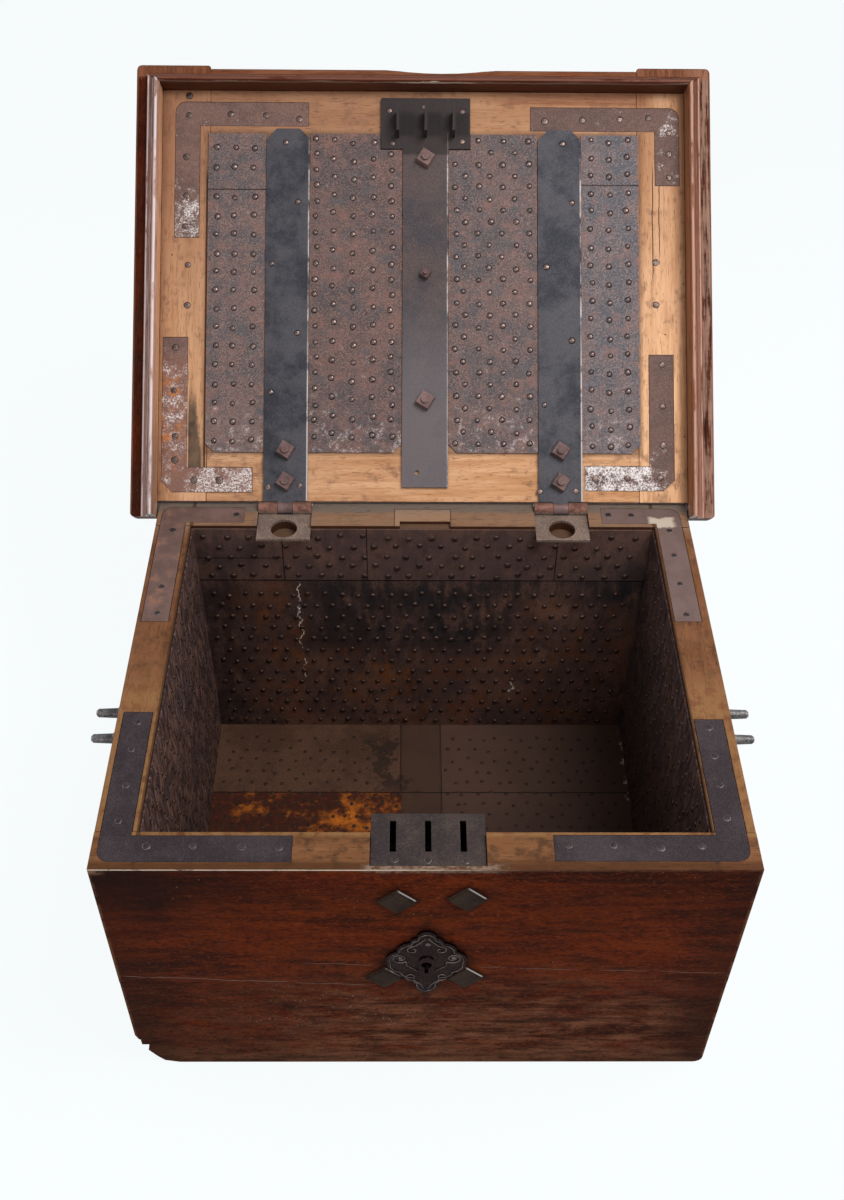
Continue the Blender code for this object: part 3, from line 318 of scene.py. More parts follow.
# %% Floor
floor_shape = bmesh.new()
bmesh.ops.create_grid(floor_shape, x_segments=1, y_segments=1, size=9)
floor_mesh = bpy.data.meshes.new("studio_floor")
floor_shape.to_mesh(floor_mesh)
floor_shape.free()
floor = bpy.data.objects.new("studio_floor", floor_mesh)
floor.location.z = -0.0005
bpy.context.scene.collection.objects.link(floor)
paper = bpy.data.materials.new("pale_paper")
paper.use_nodes = True
pen = Wire(paper.node_tree)
paper_shader = paper.node_tree.nodes["Principled BSDF"]
paper_shader.inputs["Base Color"].default_value = (0.52, 0.54, 0.55, 1)
paper_shader.inputs["Roughness"].default_value = 0.9
glow = pen.add("ShaderNodeEmission", (), {"Color": (0.955, 0.99, 0.998, 1), "Strength": 1.04})
lit = Wire(paper.node_tree, paper_shader.outputs[0])
mixed = pen.add("ShaderNodeMixShader", (), {0: pale_rays(pen) * 0.90, 1: lit, 2: glow})
paper.node_tree.links.new(mixed.socket, paper.node_tree.nodes["Material Output"].inputs["Surface"])
floor_mesh.materials.append(paper)
print("studio ready")


# %% [markdown]
# ## Old polished wood
# The outside is a red-brown hardwood under a century of polish and dirt: long dark streaks along the grain,
# short dark pores, a warm glow across the upper plank that is partly the wood's red and partly a painted
# highlight, and grey-brown grime low down. Each board has its grain along its own length, so the noise is
# stretched that way.

# %% Grain shared by every wood
def grain(place, direction, seed):
    """Broad streaks, fine streaks and dark pores that run along one axis, x, y or z."""
    stretch = tuple(14 if axis == direction else 1 for axis in "xyz")
    broad = clouds(place, 0.026, 3, 0.55, stretch, seed)
    fine = clouds(place, 0.0042, 4, 0.6, stretch, seed + 3)
    pores = soft(clouds(place, 0.0010, 2, 0.5, stretch, seed + 7), 0.60, 0.72)
    return broad, fine, pores


def crack(across, down, start, end, width, wander):
    """A wandering line from start to end, each given as (across, down) in metres."""
    slope = (end[1] - start[1]) / (end[0] - start[0])
    off = down - across * slope - (start[1] - start[0] * slope) + wander
    reach = soft(across, start[0], start[0] + 0.015) * soft(across, end[0], end[0] - 0.015)
    return band(off, 0, width / 2, width) * reach


# %% [markdown]
# The front tells the most. A red-orange glow lies across the upper plank, partly the wood's red under the
# polish and partly a painted highlight. Smoke and wax have blackened the left end, and splits opened along
# the planks and filled with pale dust. In front of the lock plate the edge is crushed to bare wood.

# %% Where a point lies on one of the lock's lozenges
WASHERS = named("lock_washer")


def lozenge(piece, x, depth):
    """How far a point is from the middle of a lozenge, 1 at its edge, then its offsets right and up."""
    low_corner, high_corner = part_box(piece)
    middle = (low_corner + high_corner) / 2
    half = (high_corner - low_corner) / 2
    right, up = x - middle.x, RIM - middle.z - depth
    return abs(right) * (1 / half.x) + abs(up) * (1 / half.z), right, up


# %% Polish and grime on the outside
def polished(place, direction, seed, x, depth, run=(1, 1, 0)):
    """Colour, height and grime of old polish, and a mask for low down; run stretches stains by axis."""
    def drawn(times):
        return tuple(1 + (times - 1) * share for share in run)

    broad, fine, pores = grain(place, direction, seed)
    mottle = clouds(place, 0.055, 5, 0.6, seed=seed + 11)
    streaky = clouds(place, 0.012, 4, 0.6, drawn(8), seed + 13)
    grime = clouds(place, 0.016, 6, 0.70, drawn(2.4), seed + 15)
    blot = clouds(place, 0.020, 4, 0.62, drawn(4), seed + 16)
    fleck = clouds(place, 0.0018, 3, 0.65, drawn(2.2), seed + 17)
    dapple = clouds(place, 0.0060, 4, 0.70, drawn(1.8), seed + 18)
    # warm: a glow across the upper plank, partly the wood's own red and partly a painted highlight
    warm = band(depth, 0.095 + 0.04 * mottle, 0.030, 0.085) * soft(mottle * 0.6 + streaky * 0.5, 0.46, 0.66)
    low = soft(depth + 0.09 * mottle, 0.19, 0.33)
    dusted = low * band(x + 0.16 * (mottle - 0.5), 0.07, 0.13, 0.13)
    dusted = dusted * soft(0.4 * fine + 0.8 * grime, 0.50, 0.76)
    foot = soft(depth + 0.03 * grime, 0.335, 0.372)
    smoke = soft(x + 0.14 * mottle, -0.01, -0.20) * soft(depth, 0.16, 0.03)
    # Besides the smoke at the left, ends and corner make the wood darker towards both ends and at the upper
    # right.
    ends = soft(abs(x) + 0.10 * (mottle - 0.5), 0.215, 0.305) * 0.55
    corner = soft(x + 0.10 * (mottle - 0.5), 0.04, 0.20) * soft(depth, 0.13, 0.05) * 0.32
    smoke_and_darkening = larger(smoke * 0.86, ends, corner, soft(mottle * 0.55 + streaky * 0.65, 0.58, 0.84) * 0.70)
    nicks = soft(specks(place, 0.010, seed + 20), 0.090, 0.045) * soft(mottle, 0.52, 0.60)
    colour = coats(
        (0.034, 0.0060, 0.0026),
        (soft(broad, 0.32, 0.68), (0.096, 0.0142, 0.0036)),
        (soft(fine, 0.44, 0.74) * 0.5, (0.143, 0.0262, 0.0062)),
        (warm * 0.75, (0.178, 0.0305, 0.0054)),
        (low * soft(grime, 0.30, 0.62) * 0.75, (0.094, 0.0355, 0.0180)),
        (dusted * 0.85, (0.225, 0.0880, 0.0470)),
        (low * soft(streaky, 0.54, 0.74) * 0.8, (0.040, 0.0180, 0.0125)),
        (foot * 0.6, (0.150, 0.0660, 0.0350)),
        (soft(blot, 0.51, 0.36) * 0.60, (0.020, 0.0056, 0.0032)),
        (soft(blot, 0.53, 0.68) * (1 - low) * 0.55, (0.174, 0.0285, 0.0052)),
        (soft(fleck + 0.5 * dapple, 0.72, 0.52) * 0.80, (0.014, 0.0040, 0.0022)),
        (soft(fleck + 0.4 * dapple, 0.73, 0.93) * 0.65, (0.215, 0.0480, 0.0160)),
        (smoke_and_darkening, (0.0165, 0.0055, 0.0040)),
        (pores * 0.6, (0.014, 0.0055, 0.0035)),
        (nicks * 0.55, (0.36, 0.25, 0.19)))
    return colour, fine * 0.5 - pores * 0.7 + grime * 0.35 - nicks, grime, low


# %% Marks on the front
def front_marks(place, seed, x, depth, colour, height, grime):
    """Dark wax round the lock's iron, splits along the planks and a patch of pale grit."""
    for piece in ("escutcheon", *WASHERS):
        share, _, _ = lozenge(piece, x, depth)
        colour = tint(soft(share + 0.5 * grime, 1.80, 1.20) * 0.75, colour, (0.012, 0.0060, 0.0050))
    wander = (clouds(place, 0.030, 3, 0.6, seed=seed + 31) - 0.5) * 0.006
    splits = larger(crack(x, depth, (-0.301, 0.184), (-0.045, 0.201), 0.0008, wander),
                    crack(x, depth, (0.050, 0.167), (0.301, 0.178), 0.0006, wander),
                    crack(x, depth, (-0.125, 0.159), (-0.040, 0.164), 0.0006, wander))
    grit = soft(specks(place, 0.006, seed + 40), 0.16, 0.07) * band(x, -0.09, 0.05, 0.07)
    grit = grit * band(depth, 0.245, 0.02, 0.03) * soft(grime, 0.42, 0.60)
    colour = coats(
        colour,
        (splits * soft(grime, 0.36, 0.52) * 0.60, (0.230, 0.140, 0.105)),
        (splits * soft(grime, 0.46, 0.34) * 0.9, (0.008, 0.004, 0.003)),
        (grit * 0.8, (0.42, 0.33, 0.28)))
    return colour, height - splits * 2


# %% [markdown]
# The rim was never polished, so it is a drier orange-brown: greyer along the back, where it stood out in the
# dust behind the lid, and lighter along its inner edge. All edges are rubbed paler than the faces.

# %% The dry rim
BED_X, BED_Y = -0.0007, INNER_BACK + 0.010


def beside_lock(x, grime):
    """The stretch of the front edge that is crushed, in front of the lock."""
    return band(x + 0.03 * grime, LOCK_X + 0.022, 0.052, 0.016)


def dry_rim(place, direction, seed, x, y):
    """The colour and height of the rim's bare wood, with the dirty bed of a lost plate at the back, outlined
    in painted shade.
    """
    broad, fine, pores = grain(place, direction, seed + 50)
    mottle = clouds(place, 0.050, 5, 0.6, seed=seed + 52)
    grime = clouds(place, 0.014, 5, 0.66, seed=seed + 54)
    crumbs = clouds(place, 0.0045, 5, 0.75, (1.6, 1, 1), seed + 57)
    ends = soft(abs(x), INNER_X - 0.005, INNER_X + 0.010)
    dusty = soft(y, INNER_BACK - 0.02, INNER_BACK + 0.008)
    weathered = soft(y + 0.006 * grime, BACK - 0.018, BACK - 0.010)
    bed = band(x, BED_X, 0.0322, 0.0004) * band(y, BED_Y, 0.0210, 0.0004)
    # The bed's outline is darkened as painted shade from the edges of its recess.
    bed_outline_shade = bed * (1 - band(x, BED_X, 0.0310, 0.0005) * band(y, BED_Y, 0.0198, 0.0005))
    sawn = soft(abs(y), -INNER_FRONT + 0.010, -INNER_FRONT + 0.004) * soft(y, 0.0, -0.05)
    shade = soft(abs(x), INNER_X + 0.0045, INNER_X + 0.0030) * soft(abs(x), INNER_X - 0.001, INNER_X)
    # Darker along the front edge, where it was handled.
    handling_and_sheen = soft(y + 0.006 * grime, FRONT + 0.0140, FRONT + 0.0080)
    crushed = beside_lock(x, grime) * soft(y + 0.010 * (crumbs - 0.5), FRONT + 0.0075, FRONT + 0.0050)
    rim = coats(
        (0.100, 0.040, 0.017),
        (soft(broad, 0.32, 0.70), (0.180, 0.078, 0.034)),
        (soft(fine, 0.45, 0.75) * 0.5, (0.260, 0.125, 0.060)),
        (soft(grime + 0.2 * mottle, 0.56, 0.74) * 0.82, (0.070, 0.034, 0.020)),
        (ends * soft(mottle, 0.35, 0.65) * 0.5, (0.235, 0.100, 0.052)),
        (dusty * (0.35 + 0.5 * mottle), (0.270, 0.162, 0.104)),
        (weathered * 0.85, (0.135, 0.108, 0.090)),
        (bed * 0.35, (0.380, 0.235, 0.150)),
        (bed_outline_shade * 0.85, (0.045, 0.026, 0.017)),
        (pores * 0.45, (0.050, 0.022, 0.012)),
        (sawn * soft(grime, 0.34, 0.60) * 0.5, (0.340, 0.180, 0.072)),
        (shade * 0.75, (0.050, 0.026, 0.015)),
        (handling_and_sheen * 0.75, (0.078, 0.032, 0.015)),
        (crushed * soft(crumbs, 0.36, 0.56) * 0.8, (0.250, 0.172, 0.125)))
    return rim, fine * 0.5 - pores * 0.6 + grime * 0.5


# %% One finish for each wall of the box
def worn_edges(place, seed, x, y, depth, polish, grime):
    """Rubbed corners, chips by the lock, a worn top corner, a painted highlight on the top arris and the
    unpolished inner side.
    """
    crumbs = clouds(place, 0.0045, 5, 0.75, (1.6, 1, 1), seed + 59)
    at_front = soft(y, FRONT + 0.016, FRONT + 0.008)
    corner = soft(abs(x), HALF - 0.004, HALF - 0.0008) * soft(abs(y), BACK - 0.004, BACK - 0.0008)
    outer = larger(soft(abs(x), HALF - 0.002, HALF), soft(abs(y), BACK - 0.002, BACK))
    rubbed = larger(corner, outer * soft(depth, 0.0045, 0.0008)) * soft(grime, 0.36, 0.60)
    chipped = beside_lock(x, grime) * soft(depth + 0.012 * (crumbs - 0.5), 0.0075, 0.0040) * at_front
    wear_and_highlight = soft(x + 0.006 * grime, -HALF + 0.020, -HALF + 0.008)
    wear_and_highlight = wear_and_highlight * soft(depth + 0.004 * grime, 0.0130, 0.0060) * at_front * soft(crumbs, 0.36, 0.52)
    # A thin pale line on the front's top arris, left of the lock, is a painted highlight.
    glint = band(depth, 0.0010, 0.0005, 0.0005) * soft(y, FRONT + 0.004, FRONT + 0.003) * soft(x, 0.10, -0.05)
    inner = soft(abs(x), HALF - 0.012, HALF - 0.014) * soft(abs(y), BACK - 0.012, BACK - 0.014)
    return coats(
        polish,
        (rubbed * 0.35, (0.300, 0.140, 0.075)),
        (chipped * soft(crumbs, 0.40, 0.56) * 0.75, (0.240, 0.160, 0.115)),
        (wear_and_highlight * 0.7, (0.280, 0.160, 0.095)),
        (glint * soft(grime, 0.34, 0.48), (0.760, 0.620, 0.500)),
        (inner * 0.8, (0.058, 0.027, 0.015)))


def box_wood(side, direction, seed):
    material, place = new_finish(f"box_wood_{side}")
    x, y, depth = box_axes(place)
    polish, polish_height, grime, low = polished(place, direction, seed, x, depth)
    if side == "front":
        polish, polish_height = front_marks(place, seed, x, depth, polish, polish_height, grime)
    polish = worn_edges(place, seed, x, y, depth, polish, grime)
    rim, rim_height = dry_rim(place, direction, seed, x, y)
    # Top faces more than a millimetre below the rim, as in pockets, are darker: partly dirt, partly painted
    # shade.
    rim = tint(soft(depth, 0.0006, 0.0016) * 0.85, rim, (0.085, 0.047, 0.028))
    top = soft(facing(place, (0, 0, 1)), 0.80, 0.95)
    roughness = 0.34 + 0.18 * grime + 0.14 * low + 0.20 * top
    height = polish_height * (1 - top) + rim_height * top
    return set_surface(material, tint(top, polish, rim), roughness, height, 0.0005, gloss=0.010)


WALLS = {"front": ("x", 1.3), "back": ("x", 4.1), "left": ("y", 7.7), "right": ("y", 9.2),
         "bottom": ("x", 12.5)}
for side, (direction, seed) in WALLS.items():
    boards = [name for name in named(side) if name.endswith("board")]
    dress(boards, box_wood(side, direction, seed))
    print(side, "wall:", len(boards), "boards")


# %% [markdown]
# ## The lid's two faces
# Inside, the lid was never polished: it is honey-coloured, and darker towards the front edge and the left,
# partly from dirt and partly as painted shade, with painted shade and dirt round the iron sheets. Outside it
# has the same dark polish as the box, with stains drawn out along each board. One finish serves both, and the
# surface's own direction picks the face.

# %% The bare inside of the lid
SHEET_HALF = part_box("lid_plate_outer_right")[1].x
SHEET_S = (0.064, 0.436)
LIP_X, LIP_S = 0.302, 0.487


def bare_wood(flat, x, s, seed, streaks, grime):
    """The colour and height of the wood inside the lip, with damp, drying checks and old nail holes."""
    broad, fine, pores = streaks
    mottle = clouds(flat, 0.060, 5, 0.6, seed=seed + 5)
    # Darker towards the front edge and the left: partly painted shade and partly age and dirt.
    shade_and_age = 0.55 * soft(s, 0.12, 0.46) + 0.32 * soft(x, 0.20, -0.27) + 0.35 * (mottle - 0.45)
    stained = soft(grime * 0.7 + mottle * 0.4, 0.565, 0.68) * 0.6
    away = larger(abs(x) - SHEET_HALF, SHEET_S[0] - s, s - SHEET_S[1])
    # Darker by the lip: painted shade of the lip, with dirt.
    lip_shade_and_dirt = larger(soft(s, LIP_S - 0.009, LIP_S + 0.001) * 0.6, soft(abs(x), LIP_X - 0.014, LIP_X + 0.001))
    above_brace = soft(s, 0.0455, 0.0465)
    damp = soft(x + 0.10 * (s - 0.10) + 0.012 * grime, -0.2490, -0.2535) * soft(x, -0.2685, -0.2675)
    damp = damp * soft(s + 0.03 * grime, 0.155, 0.125) * above_brace
    gap = band(x, -SHEET_HALF - 0.0012, 0.0009, 0.0006) * soft(s, 0.40, 0.38) * above_brace
    checks = larger(gap, band(x + 0.004 * mottle, 0.2665, 0.0003, 0.0004) * band(s, 0.330, 0.05, 0.03),
                    band(x + 0.005 * mottle, 0.2745, 0.0002, 0.0004) * band(s, 0.350, 0.04, 0.03),
                    soft(specks(flat, 0.022, seed + 2), 0.045, 0.030))
    stripe = band(s + 0.006 * (grime - 0.5), LIP_S - 0.008, 0.0050, 0.0040)
    stripe = stripe * soft(x, 0.06, 0.11) * soft(x, 0.262, 0.255)
    raw = coats(
        (0.490, 0.240, 0.112),
        (soft(broad, 0.30, 0.70), (0.800, 0.462, 0.262)),
        (soft(fine, 0.46, 0.72) * 0.35, (0.840, 0.530, 0.320)),
        (soft(fine, 0.50, 0.30) * 0.45, (0.330, 0.150, 0.070)),
        (shade_and_age, (0.255, 0.118, 0.066)),
        (stained, (0.215, 0.110, 0.070)),
        # Dark round the iron sheets: painted shade at their edges, with dirt.
        (soft(away + 0.004 * grime, 0.0085, 0.0015) * 0.6, (0.120, 0.066, 0.044)),
        (lip_shade_and_dirt * (0.35 + 0.4 * grime), (0.130, 0.055, 0.030)),
        (damp * (0.55 + 0.5 * grime), (0.030, 0.032, 0.030)),
        (checks * 0.85, (0.035, 0.019, 0.013)),
        (pores * 0.50, (0.190, 0.085, 0.040)),
        (stripe * (0.35 + 0.5 * soft(fine, 0.35, 0.60)), (0.235, 0.094, 0.052)))
    return raw, fine * 0.5 - pores * 0.6 + grime * 0.35 - checks * 2


# %% Finish for the lid's boards and clamps
def lid_wood(name, direction, seed):
    material, place = new_finish(name)
    x, s, n = lid_axes(place)
    flat = laid_flat(x, s, n)
    streaks = grain(flat, direction, seed)
    fine = streaks[1]
    grime = clouds(flat, 0.016, 6, 0.66, seed=seed + 9)
    raw, raw_height = bare_wood(flat, x, s, seed, streaks, grime)
    run = (2.4, 0, 0) if direction == "x" else (0, 2.4, 0)
    polish, polish_height, wax, _ = polished(flat, direction, seed + 40, x, 0.185 - 0.03 * s, run)
    outward = facing(place, N_DIR)
    inward = soft(outward, -0.60, -0.90)
    edge = soft(abs(outward), 0.98, 0.70)
    # Pale streaks on the inner margin at the right are a painted highlight.
    handling_and_sheen = inward * soft(x, 0.30, 0.32) * soft(fine + 0.3 * grime, 0.52, 0.72)
    margin = inward * soft(s, LID_FRONT + 0.016, LID_FRONT + 0.020)
    polish = coats(
        polish,
        (soft(wax, 0.52, 0.66) * inward * 0.6, (0.024, 0.0130, 0.0100)),
        (edge * (0.30 + 0.45 * soft(fine, 0.40, 0.70)), (0.215, 0.076, 0.046)),
        (handling_and_sheen * 0.6, (0.400, 0.235, 0.170)),
        (margin * (0.45 + 0.40 * soft(fine, 0.40, 0.65)), (0.250, 0.098, 0.050)))
    within_lip = soft(abs(x), LIP_X + 0.0002, LIP_X - 0.0002) * soft(s, LIP_S + 0.0002, LIP_S - 0.0002)
    inside = inward * within_lip
    roughness = 0.36 + 0.16 * grime + 0.20 * inside
    height = polish_height * (1 - inside) + raw_height * inside
    return set_surface(material, tint(inside, polish, raw), roughness, height, 0.0005, gloss=0.02)


dress(["lid_front_board", "lid_back_board"], lid_wood("lid_board_wood", "x", 21.0))
dress(["lid_clamp_left", "lid_clamp_right"], lid_wood("lid_clamp_wood", "y", 27.0))
print("lid wood on boards and clamps")


# %% [markdown]
# ## The moulded lip
# The lip has been handled most and has the most gloss. The quirk beside the bead holds dark wax, and thin
# pale lines on the bead's crest and the arrises are painted highlights, palest on the left. In the middle of
# the front the edge is split and bare.

# %% Finish for the mouldings
def lip_wood(name, direction, seed, cove, crest, inner, wear_and_highlight):
    material, place = new_finish(name)
    x, s, n = lid_axes(place)
    flat = laid_flat(x, s, n)
    out = s - LID_FRONT if direction == "x" else abs(x) - HALF
    broad, fine, pores = grain(flat, direction, seed)
    stretch = (4, 1, 1) if direction == "x" else (1, 4, 1)
    grime = clouds(flat, 0.012, 6, 0.66, stretch, seed + 9)
    bead = soft(n, -0.0165, -0.0185) * soft(out, 0.0108, 0.0100)
    within = soft(out, 0.0040, 0.0030) * soft(n, -0.0235, -0.0205)
    quirk = band(out, 0.0100, 0.0004, 0.0008)
    # Thin pale lines on the bead's crest and along two arrises are painted highlights.
    highlight_lines = larger(band(out, 0.0060, 0.0008, 0.0010) * bead, band(out, 0.0120, 0.0005, 0.0008),
                   band(out, 0.0185, 0.0004, 0.0008))
    colour = coats(
        cove,
        (bead, crest),
        (within, inner),
        (soft(broad, 0.56, 0.36) * 0.55, (0.030, 0.0105, 0.0060)),
        # Pale grain streaks in the same colour are a faint painted sheen.
        (soft(fine, 0.50, 0.72) * 0.22, wear_and_highlight),
        (soft(grime, 0.56, 0.72) * 0.7, (0.030, 0.0140, 0.0095)),
        (quirk * 0.85, (0.018, 0.0080, 0.0050)),
        (highlight_lines * soft(grime, 0.34, 0.50) * 0.75, wear_and_highlight))
    if direction == "x":
        torn = band(n + 0.006 * grime, -0.0195, 0.0007, 0.0008) * soft(out, 0.0045, 0.0035)
        torn = torn * larger(band(x + 0.06 * grime, 0.030, 0.050, 0.020) * soft(fine, 0.42, 0.54), 0.25)
        colour = tint(torn * 0.9, colour, (0.560, 0.420, 0.340))
    roughness = 0.22 + 0.22 * grime + 0.20 * quirk
    height = fine * 0.35 - pores * 0.3 + grime * 0.4
    return set_surface(material, colour, roughness, height, 0.0005, gloss=0.08)


# The three mouldings are one wood. Their colours differ partly with wear and partly as painted light and
# shade: the left side is painted lightest, and the front's inner face, which faces down, carries painted
# shade.
LIPS = {
    "front": ("x", 33.0, (0.080, 0.022, 0.010), (0.064, 0.014, 0.005), (0.085, 0.026, 0.013),
              (0.190, 0.076, 0.050)),
    "left": ("y", 37.0, (0.200, 0.084, 0.056), (0.330, 0.172, 0.124), (0.600, 0.310, 0.165),
             (0.780, 0.680, 0.680)),
    "right": ("y", 39.0, (0.170, 0.055, 0.026), (0.185, 0.062, 0.030), (0.310, 0.128, 0.060),
              (0.500, 0.300, 0.225))}
for side, look in LIPS.items():
    dress([f"lid_moulding_{side}"], lip_wood(f"lip_wood_{side}", *look))
print("lip wood on the mouldings")


# %% [markdown]
# ## Old iron
# All the iron is hand-worked, but no two pieces have aged alike: the hinge straps kept a blue-black scale,
# the nailed sheets went purple-brown, the braces flaked to pale specks, and damp turned one floor plate
# orange. One function lays down scale, brown and pitting, and a second one adds a piece's own marks.

# %% Finish for iron
def iron(name, scale, brown, seed, marks=None, rough=0.5, metal=0.10, blotch=0.060, pitted=0.35,
         depth=0.0004):
    material, place = new_finish(name)
    mottle = clouds(place, blotch, 5, 0.62, seed=seed)
    cloud = clouds(place, blotch / 4, 5, 0.68, seed=seed + 4)
    tooth = clouds(place, 0.0017, 4, 0.65, seed=seed + 8)
    colour = coats(
        scale,
        (soft(mottle + 0.5 * cloud, 0.64, 0.86), brown),
        (soft(tooth + 0.3 * cloud, 0.60, 0.80) * pitted, tuple(part * 0.35 for part in scale)),
        (soft(tooth - 0.2 * cloud, 0.42, 0.26) * pitted, tuple(part * 1.9 for part in brown)))
    if marks:
        colour = marks(place, colour, mottle, cloud, tooth)
    roughness = rough + 0.25 * (tooth - 0.5) + 0.15 * (mottle - 0.5)
    height = tooth * 0.7 + cloud * 0.8
    return set_surface(material, colour, roughness, height, depth, metal, gloss=0.12, rim=0.55)


# %% [markdown]
# ### Straps, nuts and sheets of the lid
# Each strap carries a painted highlight along one edge. The hinge straps' nuts were forged from other iron
# and rusted brown, and since nuts and straps are one solid, height above the lid tells them apart. The lock's
# strap is black at its head, with painted shadows beside the staples, and greyer towards the hinges. The
# sheets are mottled slate and brown.

# %% Marks on the lid's iron
STRAP_FACE = -0.0034
SHEET_EDGES = [corner.x for name in named("lid_plate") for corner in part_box(name)]


def edge_lines(x, edges):
    """Thin lines along edges that run up the lid."""
    return larger(*[band(x, edge, 0.0004, 0.0008) for edge in edges])


def nuts_and_edges(edges, staples=()):
    def mark(place, colour, mottle, cloud, tooth):
        x, s, n = lid_axes(place)
        # Pale lines along the strap's edge are painted highlights, brightest low down.
        bright = soft(clouds(place, 0.006, 5, 0.7, (1, 3, 3), 3.3) * 0.7 + mottle * 0.5, 0.52, 0.72)
        bright = larger(bright, soft(s, 0.24, 0.14) * soft(mottle + cloud, 0.82, 1.0))
        scuffs = soft(clouds(place, 0.011, 5, 0.75, seed=2.2) + 0.25 * tooth, 0.76, 0.90)
        colour = coats(
            colour,
            (edge_lines(x, edges) * bright * 0.80, (0.52, 0.47, 0.45)),
            (scuffs * 0.30, (0.22, 0.20, 0.20)))
        if staples:
            colour = tint(soft(s, 0.27, 0.12) * 0.6, colour, (0.150, 0.128, 0.132))
            colour = tint(soft(s, 0.409, 0.413) * 0.8, colour, (0.030, 0.023, 0.022))
        for staple in staples:
            # Soft dark patches to the right of each staple are painted shadows.
            staple_shadow = band(x, staple + 0.0105, 0.0045, 0.0080) * band(s, 0.4465, 0.0100, 0.0080)
            colour = tint(staple_shadow * 0.72, colour, (0.016, 0.013, 0.013))
        nut = soft(n, STRAP_FACE - 0.0002, STRAP_FACE - 0.0008) * soft(s, 0.430, 0.426)
        rust = coats(
            (0.094, 0.058, 0.054),
            (soft(cloud, 0.35, 0.65), (0.190, 0.116, 0.106)),
            (soft(tooth, 0.62, 0.72) * 0.6, (0.42, 0.32, 0.30)))
        return tint(nut, colour, rust)
    return mark


def seams(*levels):
    def mark(place, colour, mottle, cloud, tooth):
        x, s, _ = lid_axes(place)
        patch = soft(clouds(place, 0.018, 6, 0.7, seed=5.5) + 0.3 * tooth, 0.66, 0.80)
        slate = soft(clouds(place, 0.013, 5, 0.7, seed=7.5) + 0.2 * tooth, 0.62, 0.76)
        low_down = soft(s, 0.150, 0.075) * 0.09
        bloom = soft(clouds(place, 0.010, 5, 0.75, seed=9.5) * 0.8 + tooth * 0.6 + low_down, 0.83, 0.93)
        colour = coats(
            colour,
            (patch * 0.42, (0.240, 0.118, 0.094)),
            (slate * 0.50, (0.078, 0.084, 0.096)),
            (bloom * 0.70, (0.46, 0.38, 0.36)),
            (edge_lines(x, SHEET_EDGES) * soft(cloud, 0.40, 0.55) * 0.8, (0.300, 0.130, 0.072)))
        for level in levels:
            line = band(s + 0.002 * cloud, level, 0.0005, 0.0006)
            colour = tint(line * 0.85, colour, (0.025, 0.016, 0.014))
        return colour
    return mark


# %% Iron on the lid's straps and sheets
STAPLE_STEP = 0.032
strap_edges = [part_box(f"hinge_strap_{side}")[1].x - 0.0008 for side in ("left", "right")]
dress(named("hinge_strap"),
      iron("strap_iron", (0.031, 0.031, 0.039), (0.071, 0.067, 0.074), 41.0, nuts_and_edges(strap_edges),
           0.44, pitted=0.15, blotch=0.09))
staples = [LOCK_X + STAPLE_STEP * index for index in (-1, 0, 1)]
dress(["lid_lock_strap"],
      iron("lock_strap_iron", (0.052, 0.045, 0.049), (0.084, 0.060, 0.058), 45.0,
           nuts_and_edges([LOCK_X + 0.0255], staples), 0.44, pitted=0.2, blotch=0.09))
SHEETS = {"outer_left": (0.166, 0.108, 0.096, (0.3706,)), "inner_left": (0.146, 0.088, 0.076, ()),
          "inner_right": (0.144, 0.094, 0.084, ()), "outer_right": (0.152, 0.112, 0.108, (0.3777,))}
for number, (sheet, (red, green, blue, levels)) in enumerate(SHEETS.items()):
    cool = (red * 0.60, green * 0.78, blue * 0.90)
    dress([f"lid_plate_{sheet}"],
          iron(f"sheet_iron_{sheet}", cool, (red, green, blue), 50.0 + 3 * number, seams(*levels),
               blotch=0.05, pitted=0.5))
print("straps and sheets dressed")


# %% [markdown]
# ### Braces
# The lid's corner braces flaked where damp got behind them: worst along the back edge and down the left side,
# with an orange patch on one arm. The rim's front braces kept a slate-coloured scale, and the back ones,
# out in the dust, went pale. A lump of old filler lies on the back right corner.

# %% Marks on the braces
def flaked(place, colour, mottle, cloud, tooth):
    x, s, _ = lid_axes(place)
    left = soft(x, 0.0, -0.05)
    right = soft(x, 0.0, 0.1)
    right_arm = soft(x, 0.262, 0.274) * soft(s, 0.34, 0.40)
    worst = larger(left * band(s, 0.338, 0.012, 0.045) * 0.78, left * band(s, 0.100, 0.050, 0.05) * 0.62,
                   soft(s, 0.080, 0.040) * band(abs(x), 0.216, 0.024, 0.060), right_arm * 0.25)
    patches = soft(clouds(place, 0.014, 5, 0.70, seed=64.0) + 0.29 * worst, 0.58, 0.84)
    flakes = soft(clouds(place, 0.0019, 6, 0.80, seed=67.0) + (0.05 + 0.035 * right) * patches, 0.49, 0.64)
    orange = left * band(s, 0.100, 0.040, 0.03) * soft(cloud + 0.5 * mottle, 0.74, 0.90)
    orange = orange * soft(x, -0.270, -0.282)
    return coats(
        colour,
        (left * band(s, 0.090, 0.070, 0.03) * 0.5, (0.250, 0.115, 0.080)),
        (right * 0.40, (0.060, 0.034, 0.028)),
        (flakes * (0.06 + 0.90 * patches), (0.78, 0.71, 0.69)),
        (orange * 0.85, (0.420, 0.150, 0.040)))


